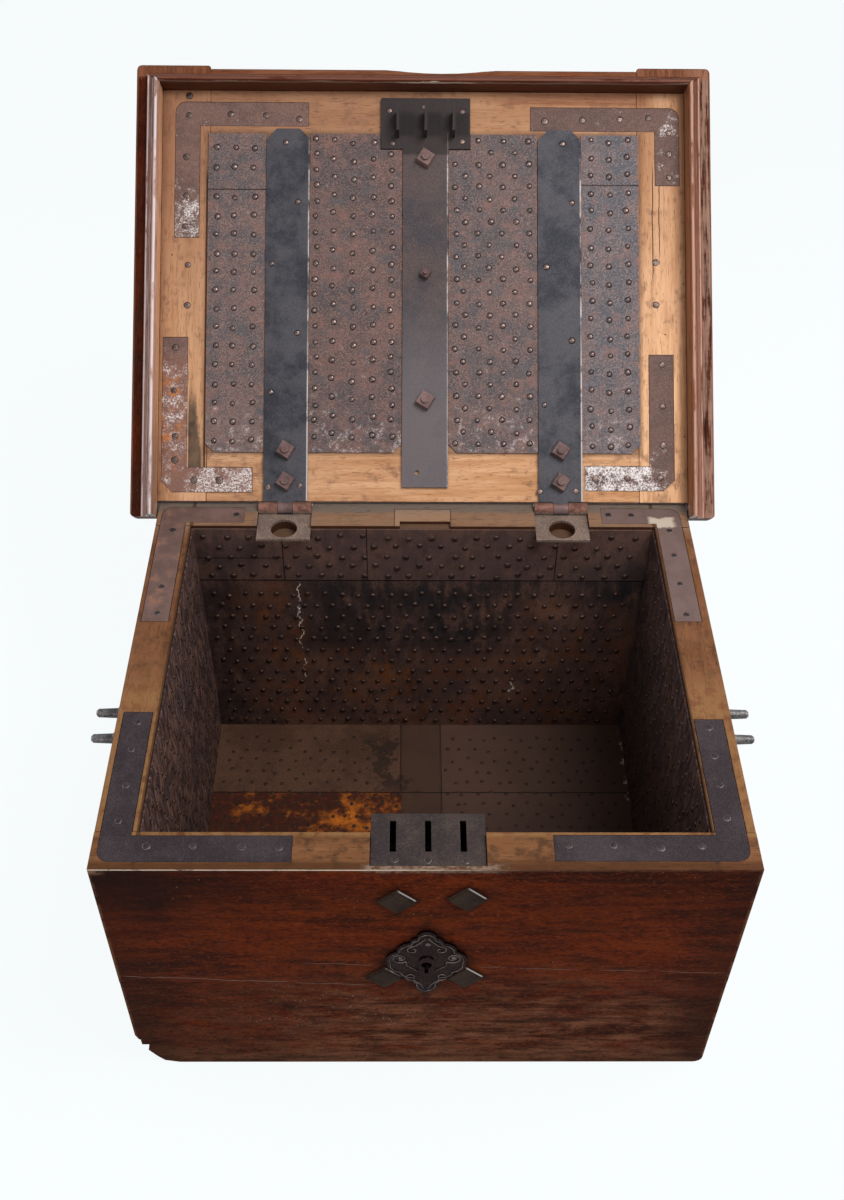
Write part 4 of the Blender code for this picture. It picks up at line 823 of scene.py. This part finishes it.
def rim_marks(place, colour, mottle, cloud, tooth):
    x = along(place, (1, 0, 0))
    y = along(place, (0, 1, 0))
    pale = coats(
        (0.125, 0.075, 0.062),
        (soft(cloud, 0.35, 0.65), (0.185, 0.112, 0.096)),
        (soft(x, -0.1, 0.1) * 0.5, (0.160, 0.112, 0.104)))
    rust = soft(x, -0.25, -0.28) * band(y, 0.160, 0.05, 0.04) * soft(cloud + 0.5 * tooth, 0.78, 0.92)
    filler = band(x + 0.02 * cloud, 0.278, 0.012, 0.006) * band(y + 0.02 * cloud, 0.225, 0.006, 0.004)
    return coats(
        colour,
        (soft(y, 0.02, 0.05), pale),
        (rust * 0.85, (0.420, 0.140, 0.040)),
        (filler * 0.9, (0.560, 0.470, 0.370)))


# %% Iron on the braces
dress(named("lid_brace"),
      iron("lid_brace_iron", (0.125, 0.073, 0.062), (0.170, 0.098, 0.080), 61.0, flaked, blotch=0.04,
           pitted=0.2))
dress(named("rim_brace"),
      iron("rim_brace_iron", (0.034, 0.025, 0.028), (0.050, 0.038, 0.041), 73.0, rim_marks, 0.44, 0.25,
           blotch=0.09, pitted=0.25))
print("braces dressed")


# %% [markdown]
# ### The lining and the floor
# Inside, the sheets are nearly black. The back is lapped from several pieces, sooty in the middle and rusty
# to the left, with two pale runs of old paint. The ends are crinkled, and their crinkles are painted as light
# and dark streaks; the right end is painted in shade. The floor's front left plate stood in damp and is half
# bright orange.

# %% Marks on the lining
LAP_DEPTH = 0.083


def lining_marks(place, colour, mottle, cloud, tooth):
    x, y, depth = box_axes(place)
    at_back = soft(y, INNER_BACK - 0.002, INNER_BACK - 0.001)
    at_sides = 1 - at_back
    streak = clouds(place, 0.010, 5, 0.65, (1, 1, 3.5), 34.0)
    smear = clouds(place, 0.045, 6, 0.70, seed=36.0)
    crinkle_shading = clouds(place, 0.0055, 5, 0.72, (1, 1, 5), 38.0)
    blackened = soft(streak * 0.6 + cloud * 0.5, 0.50, 0.70) * (0.40 + 0.35 * at_back)
    rusty = larger(band(x, -0.13, 0.09, 0.10) * band(depth, 0.20, 0.06, 0.08), 0.45 * soft(depth, 0.08, 0.14))
    rusty = rusty * soft(smear * 0.7 + streak * 0.5, 0.56, 0.74)
    middle = band(x + 0.10 * smear, 0.04, 0.09, 0.08) * band(depth, 0.140, 0.040, 0.05)
    soot = larger(middle, soft(x, 0.12, 0.24) * band(depth, 0.090, 0.020, 0.03), soft(x, -0.18, -0.24) * 0.8)
    soot = soot * soft(smear * 0.8 + streak * 0.5, 0.50, 0.72)
    upright = larger(*[band(x, lap, 0.0004, 0.0005) for lap in (-0.160, -0.064, 0.153)])
    upright = upright * soft(depth, LAP_DEPTH + 0.0005, LAP_DEPTH - 0.0005)
    left_lap = band(depth, 0.048, 0.0004, 0.0005) * soft(x, -0.159, -0.161)
    laps = larger(upright, left_lap, band(depth, LAP_DEPTH + 0.0002, 0.0006, 0.0006))
    wander = (clouds(place, 0.018, 3, 0.6, seed=31.0) - 0.5) * 0.030
    runs = larger(band(x + wander, -0.146, 0.0005, 0.0006) * band(depth, 0.170, 0.075, 0.01),
                  band(x + wander, 0.114, 0.0005, 0.0006) * band(depth, 0.266, 0.010, 0.004))
    return coats(
        colour,
        (blackened, (0.026, 0.019, 0.018)),
        # Dark and light streaks along the crinkles of the end sheets are painted shade and light.
        (at_sides * soft(crinkle_shading, 0.54, 0.40) * 0.88, (0.016, 0.011, 0.012)),
        (at_sides * soft(crinkle_shading, 0.52, 0.66) * 0.78, (0.190, 0.134, 0.134)),
        (rusty * at_back * 0.9, (0.240, 0.078, 0.026)),
        (soot * at_back * 0.92, (0.020, 0.020, 0.023)),
        (at_back * soft(depth, LAP_DEPTH + 0.001, LAP_DEPTH - 0.001) * 0.30, (0.150, 0.090, 0.080)),
        # The right end is painted in shade.
        (soft(x, INNER_X - 0.003, INNER_X - 0.001) * 0.34, (0.012, 0.010, 0.012)),
        (laps * at_back * 0.9, (0.008, 0.006, 0.006)),
        (runs * at_back * soft(cloud, 0.40, 0.50), (0.72, 0.66, 0.60)))


# %% Marks on the floor
STRIP_X, SEAM_Y = 0.0257, 0.0975


def floor_marks(place, colour, mottle, cloud, tooth):
    x = along(place, (1, 0, 0))
    y = along(place, (0, 1, 0))
    strip = larger(band(x, -STRIP_X, 0.0003, 0.0005), band(x, STRIP_X, 0.0003, 0.0005))
    damp = soft(y, SEAM_Y + 0.0003, SEAM_Y - 0.0005) * soft(x, -0.0235, -0.0250)
    patches = clouds(place, 0.050, 6, 0.70, (1.6, 1, 1), 22.0)
    bright = soft(patches * 0.85 + cloud * 0.60 + 0.4 * (x + 0.15), 0.74, 0.98)
    flaws = clouds(place, 0.006, 5, 0.75, seed=24.0)
    orange = coats(
        (0.046, 0.015, 0.009),
        (bright, (0.520, 0.140, 0.014)),
        (soft(flaws, 0.46, 0.34) * 0.7, (0.150, 0.026, 0.010)),
        (soft(flaws, 0.54, 0.66) * 0.8, (0.024, 0.010, 0.008)))
    spill = band(x + 0.45 * (y - 0.15) + 0.14 * (cloud - 0.5) + 0.10 * (mottle - 0.5), -0.050, 0.010, 0.008)
    spill = spill * soft(y, 0.085, 0.11) * soft(y, 0.20, 0.17)
    paint = soft(x, INNER_X - 0.006, INNER_X - 0.003) * band(y, 0.140, 0.055, 0.01) * soft(cloud, 0.50, 0.60)
    return coats(
        colour,
        (soft(x, -0.05, 0.06) * 0.7, (0.076, 0.043, 0.033)),
        (soft(y, 0.100, 0.030) * 0.35, (0.026, 0.016, 0.017)),
        (band(x, 0, 0.0250, 0.0005) * 0.6, (0.046, 0.026, 0.018)),
        (strip * 0.85, (0.010, 0.007, 0.006)),
        (damp * 0.94, orange),
        (spill * 0.7, (0.020, 0.013, 0.011)),
        (band(y + 0.002 * cloud, SEAM_Y, 0.0006, 0.0006) * 0.85, (0.012, 0.008, 0.007)),
        (paint, (0.62, 0.58, 0.54)))


# %% Marks on the hinges and washers
def knuckles(place, colour, mottle, cloud, tooth):
    """The hinge's rolled part is a redder brown than its dusty leaf."""
    height = along(place, (0, 0, 1)) - RIM
    red = tint(soft(cloud, 0.35, 0.65), (0.110, 0.048, 0.036), (0.230, 0.112, 0.084))
    return tint(soft(height, 0.0006, 0.0014), colour, red)


def upper_right_highlights(place, colour, mottle, cloud, tooth):
    """The washers' upper right edges carry a painted highlight."""
    x = along(place, (1, 0, 0))
    depth = RIM - along(place, (0, 0, 1))
    for washer in WASHERS:
        share, right, up = lozenge(washer, x, depth)
        edge = soft(share, 0.930, 0.960) * soft(share, 1.000, 0.985)
        edge = edge * soft(right, 0, 0.002) * soft(up, 0, 0.002)
        colour = tint(edge * soft(cloud, 0.30, 0.45) * 0.75, colour, (0.480, 0.440, 0.420))
    return colour


# %% Iron inside the box and on the lock, hinges and handles
dress([name for name in named("lining") if "floor" not in name],
      iron("lining_iron", (0.072, 0.044, 0.041), (0.155, 0.078, 0.055), 82.0, lining_marks, blotch=0.05,
           depth=0.0009))
dress(named("lining_floor"),
      iron("floor_iron", (0.060, 0.030, 0.019), (0.090, 0.045, 0.028), 86.0, floor_marks, 0.6, blotch=0.08,
           pitted=0.3))
dress(["lock_cover"],
      iron("lock_cover_iron", (0.044, 0.033, 0.033), (0.066, 0.048, 0.043), 90.0, rough=0.38, metal=0.6,
           pitted=0.25, depth=0.0002))
dress(["escutcheon", "lock_case", "lock_bolt", "lock_spring", "lock_key_pin"],
      iron("lock_iron", (0.0160, 0.0085, 0.0085), (0.0280, 0.0155, 0.0145), 92.0, rough=0.30, metal=0.9,
           pitted=0.4, depth=0.0002))
dress(WASHERS,
      iron("washer_iron", (0.0200, 0.0120, 0.0090), (0.0360, 0.0220, 0.0160), 94.0, upper_right_highlights, 0.30,
           metal=0.9, pitted=0.2, depth=0.0002))
dress(named("hinge_leaf", "hinge_pin"),
      iron("hinge_iron", (0.150, 0.106, 0.088), (0.205, 0.144, 0.114), 96.0, knuckles, blotch=0.03))
dress(named("handle"),
      iron("handle_iron", (0.080, 0.072, 0.074), (0.165, 0.150, 0.150), 99.0, rough=0.42, metal=0.5,
           blotch=0.02))
print("iron finishes:", sum("iron" in material.name for material in bpy.data.materials))


# %% [markdown]
# ## Softened edges
# No edge of an old chest is sharp. A Bevel modifier on each wooden solid and on the flat ironwork rounds its
# edges by under a millimetre, which is enough to catch the light. The Weld modifier first joins the solid's
# split corners.

# %% Round the edges of the solids
def soften(names, width):
    for name in names:
        item = nodes[name]
        item.modifiers.new("join_corners", "WELD").merge_threshold = 0.00001
        rounding = item.modifiers.new("soft_edges", "BEVEL")
        rounding.width = width
        rounding.segments = 2
        rounding.limit_method = "ANGLE"
        rounding.angle_limit = math.radians(35)


soften([name for name in nodes if name.endswith("board") or "clamp" in name], 0.0009)
soften(["escutcheon", "lock_cover", *WASHERS], 0.0005)
soften([name for name in nodes if "brace" in name], 0.0003)
print("softened", sum("soft_edges" in item.modifiers for item in nodes.values()), "solids")


# %% [markdown]
# ## Nail heads
# Hundreds of hand-made nails hold the sheets, and they give the coffer its look. Each head is a low dome, a
# little out of round and never quite in line, so the domes are built one by one with seeded jitter and joined
# into one mesh for each sheet. They are closed and sit 0.2 mm into the sheet, so no edge floats.

# %% A builder for turned heads
chance = random.Random(17)


def add_head(shape, centre, out, profile, tip, sides):
    """A closed turned head from (radius, lift) rings; its two outer bands take the second finish."""
    side = out.orthogonal().normalized()
    other = out.cross(side)
    turn = chance.uniform(0, math.tau)
    spokes = [side * math.cos(turn + math.tau * k / sides) + other * math.sin(turn + math.tau * k / sides)
              for k in range(sides)]
    spokes = [spoke * chance.uniform(0.94, 1.06) for spoke in spokes]
    rings = [[shape.verts.new(centre + spoke * radius + out * lift) for spoke in spokes]
             for radius, lift in profile]
    crown = shape.verts.new(centre + out * tip)
    for index in range(sides):
        after = (index + 1) % sides
        for number, (lower, upper) in enumerate(zip(rings, rings[1:])):
            face = shape.faces.new((lower[index], lower[after], upper[after], upper[index]))
            face.material_index = int(number < 2)
        shape.faces.new((rings[-1][index], rings[-1][after], crown))
    shape.faces.new(list(reversed(rings[0])))


def finish_piece(name, shape, body, finishes):
    """Turn a shape into a smooth piece that rides on a body."""
    mesh = bpy.data.meshes.new(name)
    shape.to_mesh(mesh)
    shape.free()
    mesh.shade_smooth()
    for finish in finishes:
        mesh.materials.append(finish)
    item = bpy.data.objects.new(name, mesh)
    bpy.context.scene.collection.objects.link(item)
    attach(item, body)
    return item


# %% Groups of nails
HEAD_IRONS = (("nail_iron", (0.095, 0.072, 0.068), (0.150, 0.104, 0.092), 103.0, 0.22, 0.85, 0.012),
              ("dark_nail_iron", (0.050, 0.031, 0.027), (0.090, 0.050, 0.037), 107.0, 0.38, 0.6, 0.012),
              ("floor_nail_iron", (0.032, 0.018, 0.013), (0.052, 0.028, 0.019), 109.0, 0.5, 0.2, 0.012),
              ("flat_nail_iron", (0.080, 0.055, 0.050), (0.140, 0.094, 0.080), 111.0, 0.32, 0.7, 0.010),
              ("rim_nail_iron", (0.034, 0.025, 0.027), (0.055, 0.042, 0.044), 115.0, 0.4, 0.5, 0.010),
              ("worn_ring_iron", (0.080, 0.066, 0.065), (0.135, 0.112, 0.106), 117.0, 0.3, 0.7, 0.006),
              ("shade_and_dirt_ring", (0.016, 0.012, 0.012), (0.024, 0.017, 0.016), 113.0, 0.7, 0.0, 0.060))
nail_iron, dark_nail, floor_nail, flat_nail, rim_nail, worn_ring, shade_and_dirt_ring = [
    iron(name, scale, brown, seed, rough=rough, metal=metal, blotch=blotch)
    for name, scale, brown, seed, rough, metal, blotch in HEAD_IRONS]


def scatter(places, out, jitter):
    """The places, each moved a little within the surface."""
    side = out.orthogonal().normalized()
    other = out.cross(side)
    for place in places:
        yield Vector(place) + side * chance.uniform(-jitter, jitter) + other * chance.uniform(-jitter, jitter)


def domed_nails(name, places, out, radius, height, body, finish, jitter=0.0014):
    shape = bmesh.new()
    out = Vector(out)
    for place in scatter(places, out, jitter):
        r = radius * chance.uniform(0.88, 1.12)
        h = height * chance.uniform(0.80, 1.20)
        # The dark ring round each head's foot is painted shade, with dirt.
        shade_and_dirt_band = [(r * 1.16, -0.0002), (r * 1.14, 0.0001)]
        add_head(shape, place, out, [*shade_and_dirt_band, (r, 0.0001), (r * 0.96, h * 0.38), (r * 0.66, h * 0.82)], h, 8)
    finish_piece(name, shape, body, [finish, shade_and_dirt_ring])
    print(name, len(places), "nails")


def flush_nails(name, places, out, radius, body, finishes, jitter=0.0004):
    """Heads hammered level with the iron: a flat disc in a ring of another finish, at most 0.2 mm proud."""
    shape = bmesh.new()
    out = Vector(out)
    for place in scatter(places, out, jitter):
        r = radius * chance.uniform(0.9, 1.1)
        rings = [(r * 1.02, -0.0002), (r, 0.00005), (r * 0.84, 0.00005), (r * 0.78, 0.00017)]
        add_head(shape, place, out, rings, 0.0002, 12)
    finish_piece(name, shape, body, finishes)
    print(name, len(places), "nails")


# %% [markdown]
# The lid's four sheets were nailed by different hands: three neat columns on the outer ones, edge columns
# with a looser middle on the inner left, and staggered rows on the inner right.

# %% Nails on the lid's sheets
SHEET_FACE = -0.0013
BRACE_FACE = 0.0004


def lid_places(spots, n):
    """Spots given as x and s, on a face of the lid at height n."""
    return [on_lid(x, s, n) for x, s in spots]


outer_left = [(x, s) for x in (-0.238, -0.218, -0.196)
              for s in (0.419, 0.395, *[0.3605 - 0.0218 * k for k in range(14)])]
outer_right = [(x, s - 0.0210 * k) for x, s in ((0.193, 0.430), (0.2135, 0.428), (0.235, 0.431))
               for k in range(18)]
inner_left = [(x, 0.430 - 0.0183 * k) for x in (-0.124, -0.037) for k in range(20)]
inner_left += [(x, s - 0.0214 * k) for x, s in ((-0.104, 0.428), (-0.081, 0.424), (-0.058, 0.427))
               for k in range(17)]
inner_right = [(x, 0.428 - 0.0272 * k) for x in (0.037, 0.063, 0.091, 0.122) for k in range(14)]
inner_right += [(x, 0.4144 - 0.0272 * k) for x in (0.047, 0.076, 0.106) for k in range(14)]
for sheet, spots in (("outer_left", outer_left), ("inner_left", inner_left), ("inner_right", inner_right),
                     ("outer_right", outer_right)):
    clear = [(x, s) for x, s in spots if s > 0.070 and not (abs(x - LOCK_X) < 0.056 and s > 0.412)]
    domed_nails(f"nails_lid_{sheet}", lid_places(clear, SHEET_FACE), -N_DIR, 0.0032, 0.0019, "lid", nail_iron)

# %% Nails in the lid's straps and braces
strap_spots = [(-0.159, 0.4255), (-0.145, 0.356), (-0.174, 0.281), (-0.144, 0.2005), (-0.174, 0.1335),
               (0.160, 0.4245), (0.169, 0.355), (0.141, 0.281), (0.171, 0.1945), (0.139, 0.119)]
domed_nails("nails_straps", lid_places(strap_spots, STRAP_FACE), -N_DIR, 0.0034, 0.0015, "lid", nail_iron)
brace_spots = [
    (-0.272, 0.458), (-0.224, 0.459), (-0.183, 0.458), (-0.144, 0.454), (-0.274, 0.408), (-0.274, 0.362),
    (-0.275, 0.326), (0.140, 0.453), (0.184, 0.454), (0.227, 0.456), (0.261, 0.458), (0.284, 0.440),
    (0.284, 0.415), (0.284, 0.387), (-0.284, 0.185), (-0.285, 0.135), (-0.283, 0.082), (-0.283, 0.055),
    (-0.261, 0.0315), (-0.232, 0.0315), (0.274, 0.167), (0.274, 0.119), (0.274, 0.074), (0.197, 0.0345),
    (0.233, 0.0355), (0.271, 0.0365)]
wood_spots = [(-0.272, 0.4805), (-0.271, 0.281), (-0.271, 0.234), (0.268, 0.287), (0.268, 0.237)]
flush_nails("nails_lid_braces", lid_places(brace_spots + wood_spots, BRACE_FACE), -N_DIR, 0.0040, "lid",
            [flat_nail, shade_and_dirt_ring])
head_spots = [(-0.040, 0.463), (0.044, 0.463), (-0.036, 0.4245), (0.044, 0.4265), (0.0, 0.468),
              (-0.177, 0.0235), (-0.140, 0.0255), (0.133, 0.0195), (0.174, 0.0195)]
flush_nails("nails_lock_head", lid_places(head_spots, STRAP_FACE), -N_DIR, 0.0034, "lid",
            [flat_nail, shade_and_dirt_ring])

# %% Nails in the rim, given as x and distance from the front
rim_spots = [
    (-0.251, 0.025), (-0.209, 0.025), (-0.165, 0.024), (-0.132, 0.023), (-0.280, 0.052), (-0.279, 0.093),
    (-0.280, 0.135), (-0.279, 0.169), (0.128, 0.026), (0.169, 0.026), (0.211, 0.023), (0.249, 0.025),
    (0.276, 0.056), (0.276, 0.094), (0.276, 0.128), (0.276, 0.163), (-0.280, 0.447), (-0.280, 0.357),
    (-0.280, 0.317), (-0.211, 0.474), (0.276, 0.449), (0.276, 0.409), (0.276, 0.363), (0.276, 0.317),
    (0.210, 0.475), (0.236, 0.475)]
flush_nails("nails_rim_braces", [(x, FRONT + y, RIM) for x, y in rim_spots], (0, 0, 1), 0.0036, "box",
            [rim_nail, worn_ring])
cover_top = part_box("lock_cover")[1].z
cover_spots = [(x, FRONT + y, cover_top) for x, y in ((-0.028, 0.013), (0.002, 0.012), (0.036, 0.011))]
flush_nails("nails_lock_cover", cover_spots, (0, 0, 1), 0.0032, "box", [rim_nail, worn_ring])


# %% [markdown]
# The lining's nails run in offset rows. On the walls they are dark domes, and on the floor, worn flat.

# %% Nails inside the box
def staggered(low, high, step, first, last, row_step):
    """Places in offset rows over a rectangle."""
    for row in range(int((last - first) / row_step) + 1):
        start = low + (step / 2 if row % 2 else 0)
        for index in range(int((high - start) / step) + 1):
            yield start + step * index, first + row_step * row


wall = INNER_X - 0.012
span = (INNER_FRONT + 0.012, INNER_BACK - 0.012)
leaves = [sum(corner.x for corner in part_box(f"hinge_leaf_{side}")) / 2 for side in ("left", "right")]
upper = [(x, z) for x, z in staggered(-wall, wall, 0.0255, RIM - 0.076, RIM - 0.012, 0.0150)
         if not (z > RIM - 0.030 and min(abs(x - leaf) for leaf in leaves) < 0.036)]
lower = list(staggered(-wall, wall, 0.0190, FLOOR_TOP + 0.010, RIM - 0.090, 0.0190))
ends = list(staggered(*span, 0.0200, FLOOR_TOP + 0.010, RIM - 0.014, 0.0190))
fronts = [(x, z) for x, z in lower if not (abs(x - LOCK_X) < 0.060 and z > RIM - 0.215)]
ground = [(x, y) for x, y in staggered(-wall, wall, 0.0180, *span, 0.0170) if abs(x) > 0.028]
for name, places, out, radius, height in (
        ("nails_back_upper", [(x, INNER_BACK, z) for x, z in upper], (0, -1, 0), 0.0034, 0.0016),
        ("nails_back_lower", [(x, INNER_BACK, z) for x, z in lower], (0, -1, 0), 0.0031, 0.0017),
        ("nails_left", [(-INNER_X, y, z) for y, z in ends], (1, 0, 0), 0.0030, 0.0013),
        ("nails_right", [(INNER_X, y, z) for y, z in ends], (-1, 0, 0), 0.0030, 0.0013),
        ("nails_front", [(x, INNER_FRONT, z) for x, z in fronts], (0, 1, 0), 0.0030, 0.0013)):
    domed_nails(name, places, out, radius, height, "box", dark_nail, 0.0026)
ground_places = [(x, y, FLOOR_TOP) for x, y in ground]
flush_nails("nails_floor", ground_places, (0, 0, 1), 0.0024, "box", [floor_nail, shade_and_dirt_ring],
            0.0036)


# %% [markdown]
# ## Chased work on the lock plate
# The lock plate's lobed outline is in the solid. Its surface is chased: a raised line follows the edge, and
# scrolls curl out from the keyhole's arch to three rivets. Each line is a ridge with a roof-shaped section,
# drawn along points on the plate's face.

# %% Ridges and curls
key_low, key_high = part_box("escutcheon")
KEY = Vector((LOCK_X, 0, (key_low.z + key_high.z) / 2 - 0.0005))
PLATE_FACE = key_high.y - 0.0025


def add_ridge(shape, path, width, height, closed=False):
    """A ridge along (x, z) points on the lock plate, in metres from the keyhole."""
    points = [KEY + Vector((x, PLATE_FACE, z)) for x, z in path]
    count = len(points)
    rings = []
    for index, point in enumerate(points):
        before = points[index - 1] if closed or index else point
        after = points[(index + 1) % count] if closed or index < count - 1 else point
        side = Vector((before.z - after.z, 0, after.x - before.x)).normalized() * width / 2
        section = ((1.0, 0.0002), (0.45, -height), (-0.45, -height), (-1.0, 0.0002))
        rings.append([shape.verts.new(point + side * share + Vector((0, lift, 0)))
                      for share, lift in section])
    for index in range(count if closed else count - 1):
        ring, following = rings[index], rings[(index + 1) % count]
        for edge in range(4):
            shape.faces.new((ring[edge], following[edge], following[(edge + 1) % 4], ring[(edge + 1) % 4]))
    if not closed:
        shape.faces.new(list(reversed(rings[0])))
        shape.faces.new(rings[-1])


def curl(x, z, first, last, start, end, steps=18):
    """A spiral about (x, z) from one angle and radius to another."""
    for step in range(steps + 1):
        share = step / steps
        angle = math.radians(first + (last - first) * share)
        radius = start + (end - start) * share
        yield x + radius * math.cos(angle), z + radius * math.sin(angle)


# %% Draw the plate's border, scrolls and rivets
corners = [vertex.co for vertex in nodes["escutcheon"].data.vertices]
face_points = [corner - KEY for corner in corners if abs(corner.y - PLATE_FACE) < 0.0001]
edge_points = {round(math.atan2(point.z, point.x), 3): point
               for point in face_points if point.xz.length > 0.020}
border = [(point.x * 0.92, point.z * 0.92) for _, point in sorted(edge_points.items())]
scrolls = bmesh.new()
add_ridge(scrolls, border, 0.0016, 0.0007, closed=True)
tail = [(0.0085, -0.012), (0.0115, -0.0095), (0.015, -0.0065), (0.019, -0.002),
        *curl(0.0255, 0.0105, 225, 650, 0.0085, 0.0030)]
leaf = [(0.001, 0.046), (0.006, 0.039), (0.011, 0.033), *curl(0.0135, 0.0255, 85, -250, 0.0060, 0.0022)]
drop = [(0.0015, -0.047), (0.005, -0.038), (0.0105, -0.032),
        *curl(0.0145, -0.0235, -110, 190, 0.0070, 0.0025)]
for path in (tail, leaf, drop):
    for sign in (-1, 1):
        add_ridge(scrolls, [(sign * x, z) for x, z in path], 0.0017, 0.0008)
bmesh.ops.recalc_face_normals(scrolls, faces=scrolls.faces)
rubbed_lock = iron("rubbed_lock_iron", (0.042, 0.032, 0.031), (0.110, 0.092, 0.086), 95.0, rough=0.24,
                   metal=0.9, pitted=0.2, blotch=0.02, depth=0.0002)
finish_piece("lock_plate_scrolls", scrolls, "box", [rubbed_lock])
rivets = [KEY + Vector((x, PLATE_FACE, z)) for x, z in ((-0.0255, 0.0105), (0.0265, 0.0100), (0.001, 0.0350))]
domed_nails("lock_plate_rivets", rivets, (0, -1, 0), 0.0026, 0.0011, "box", rubbed_lock, 0.0002)
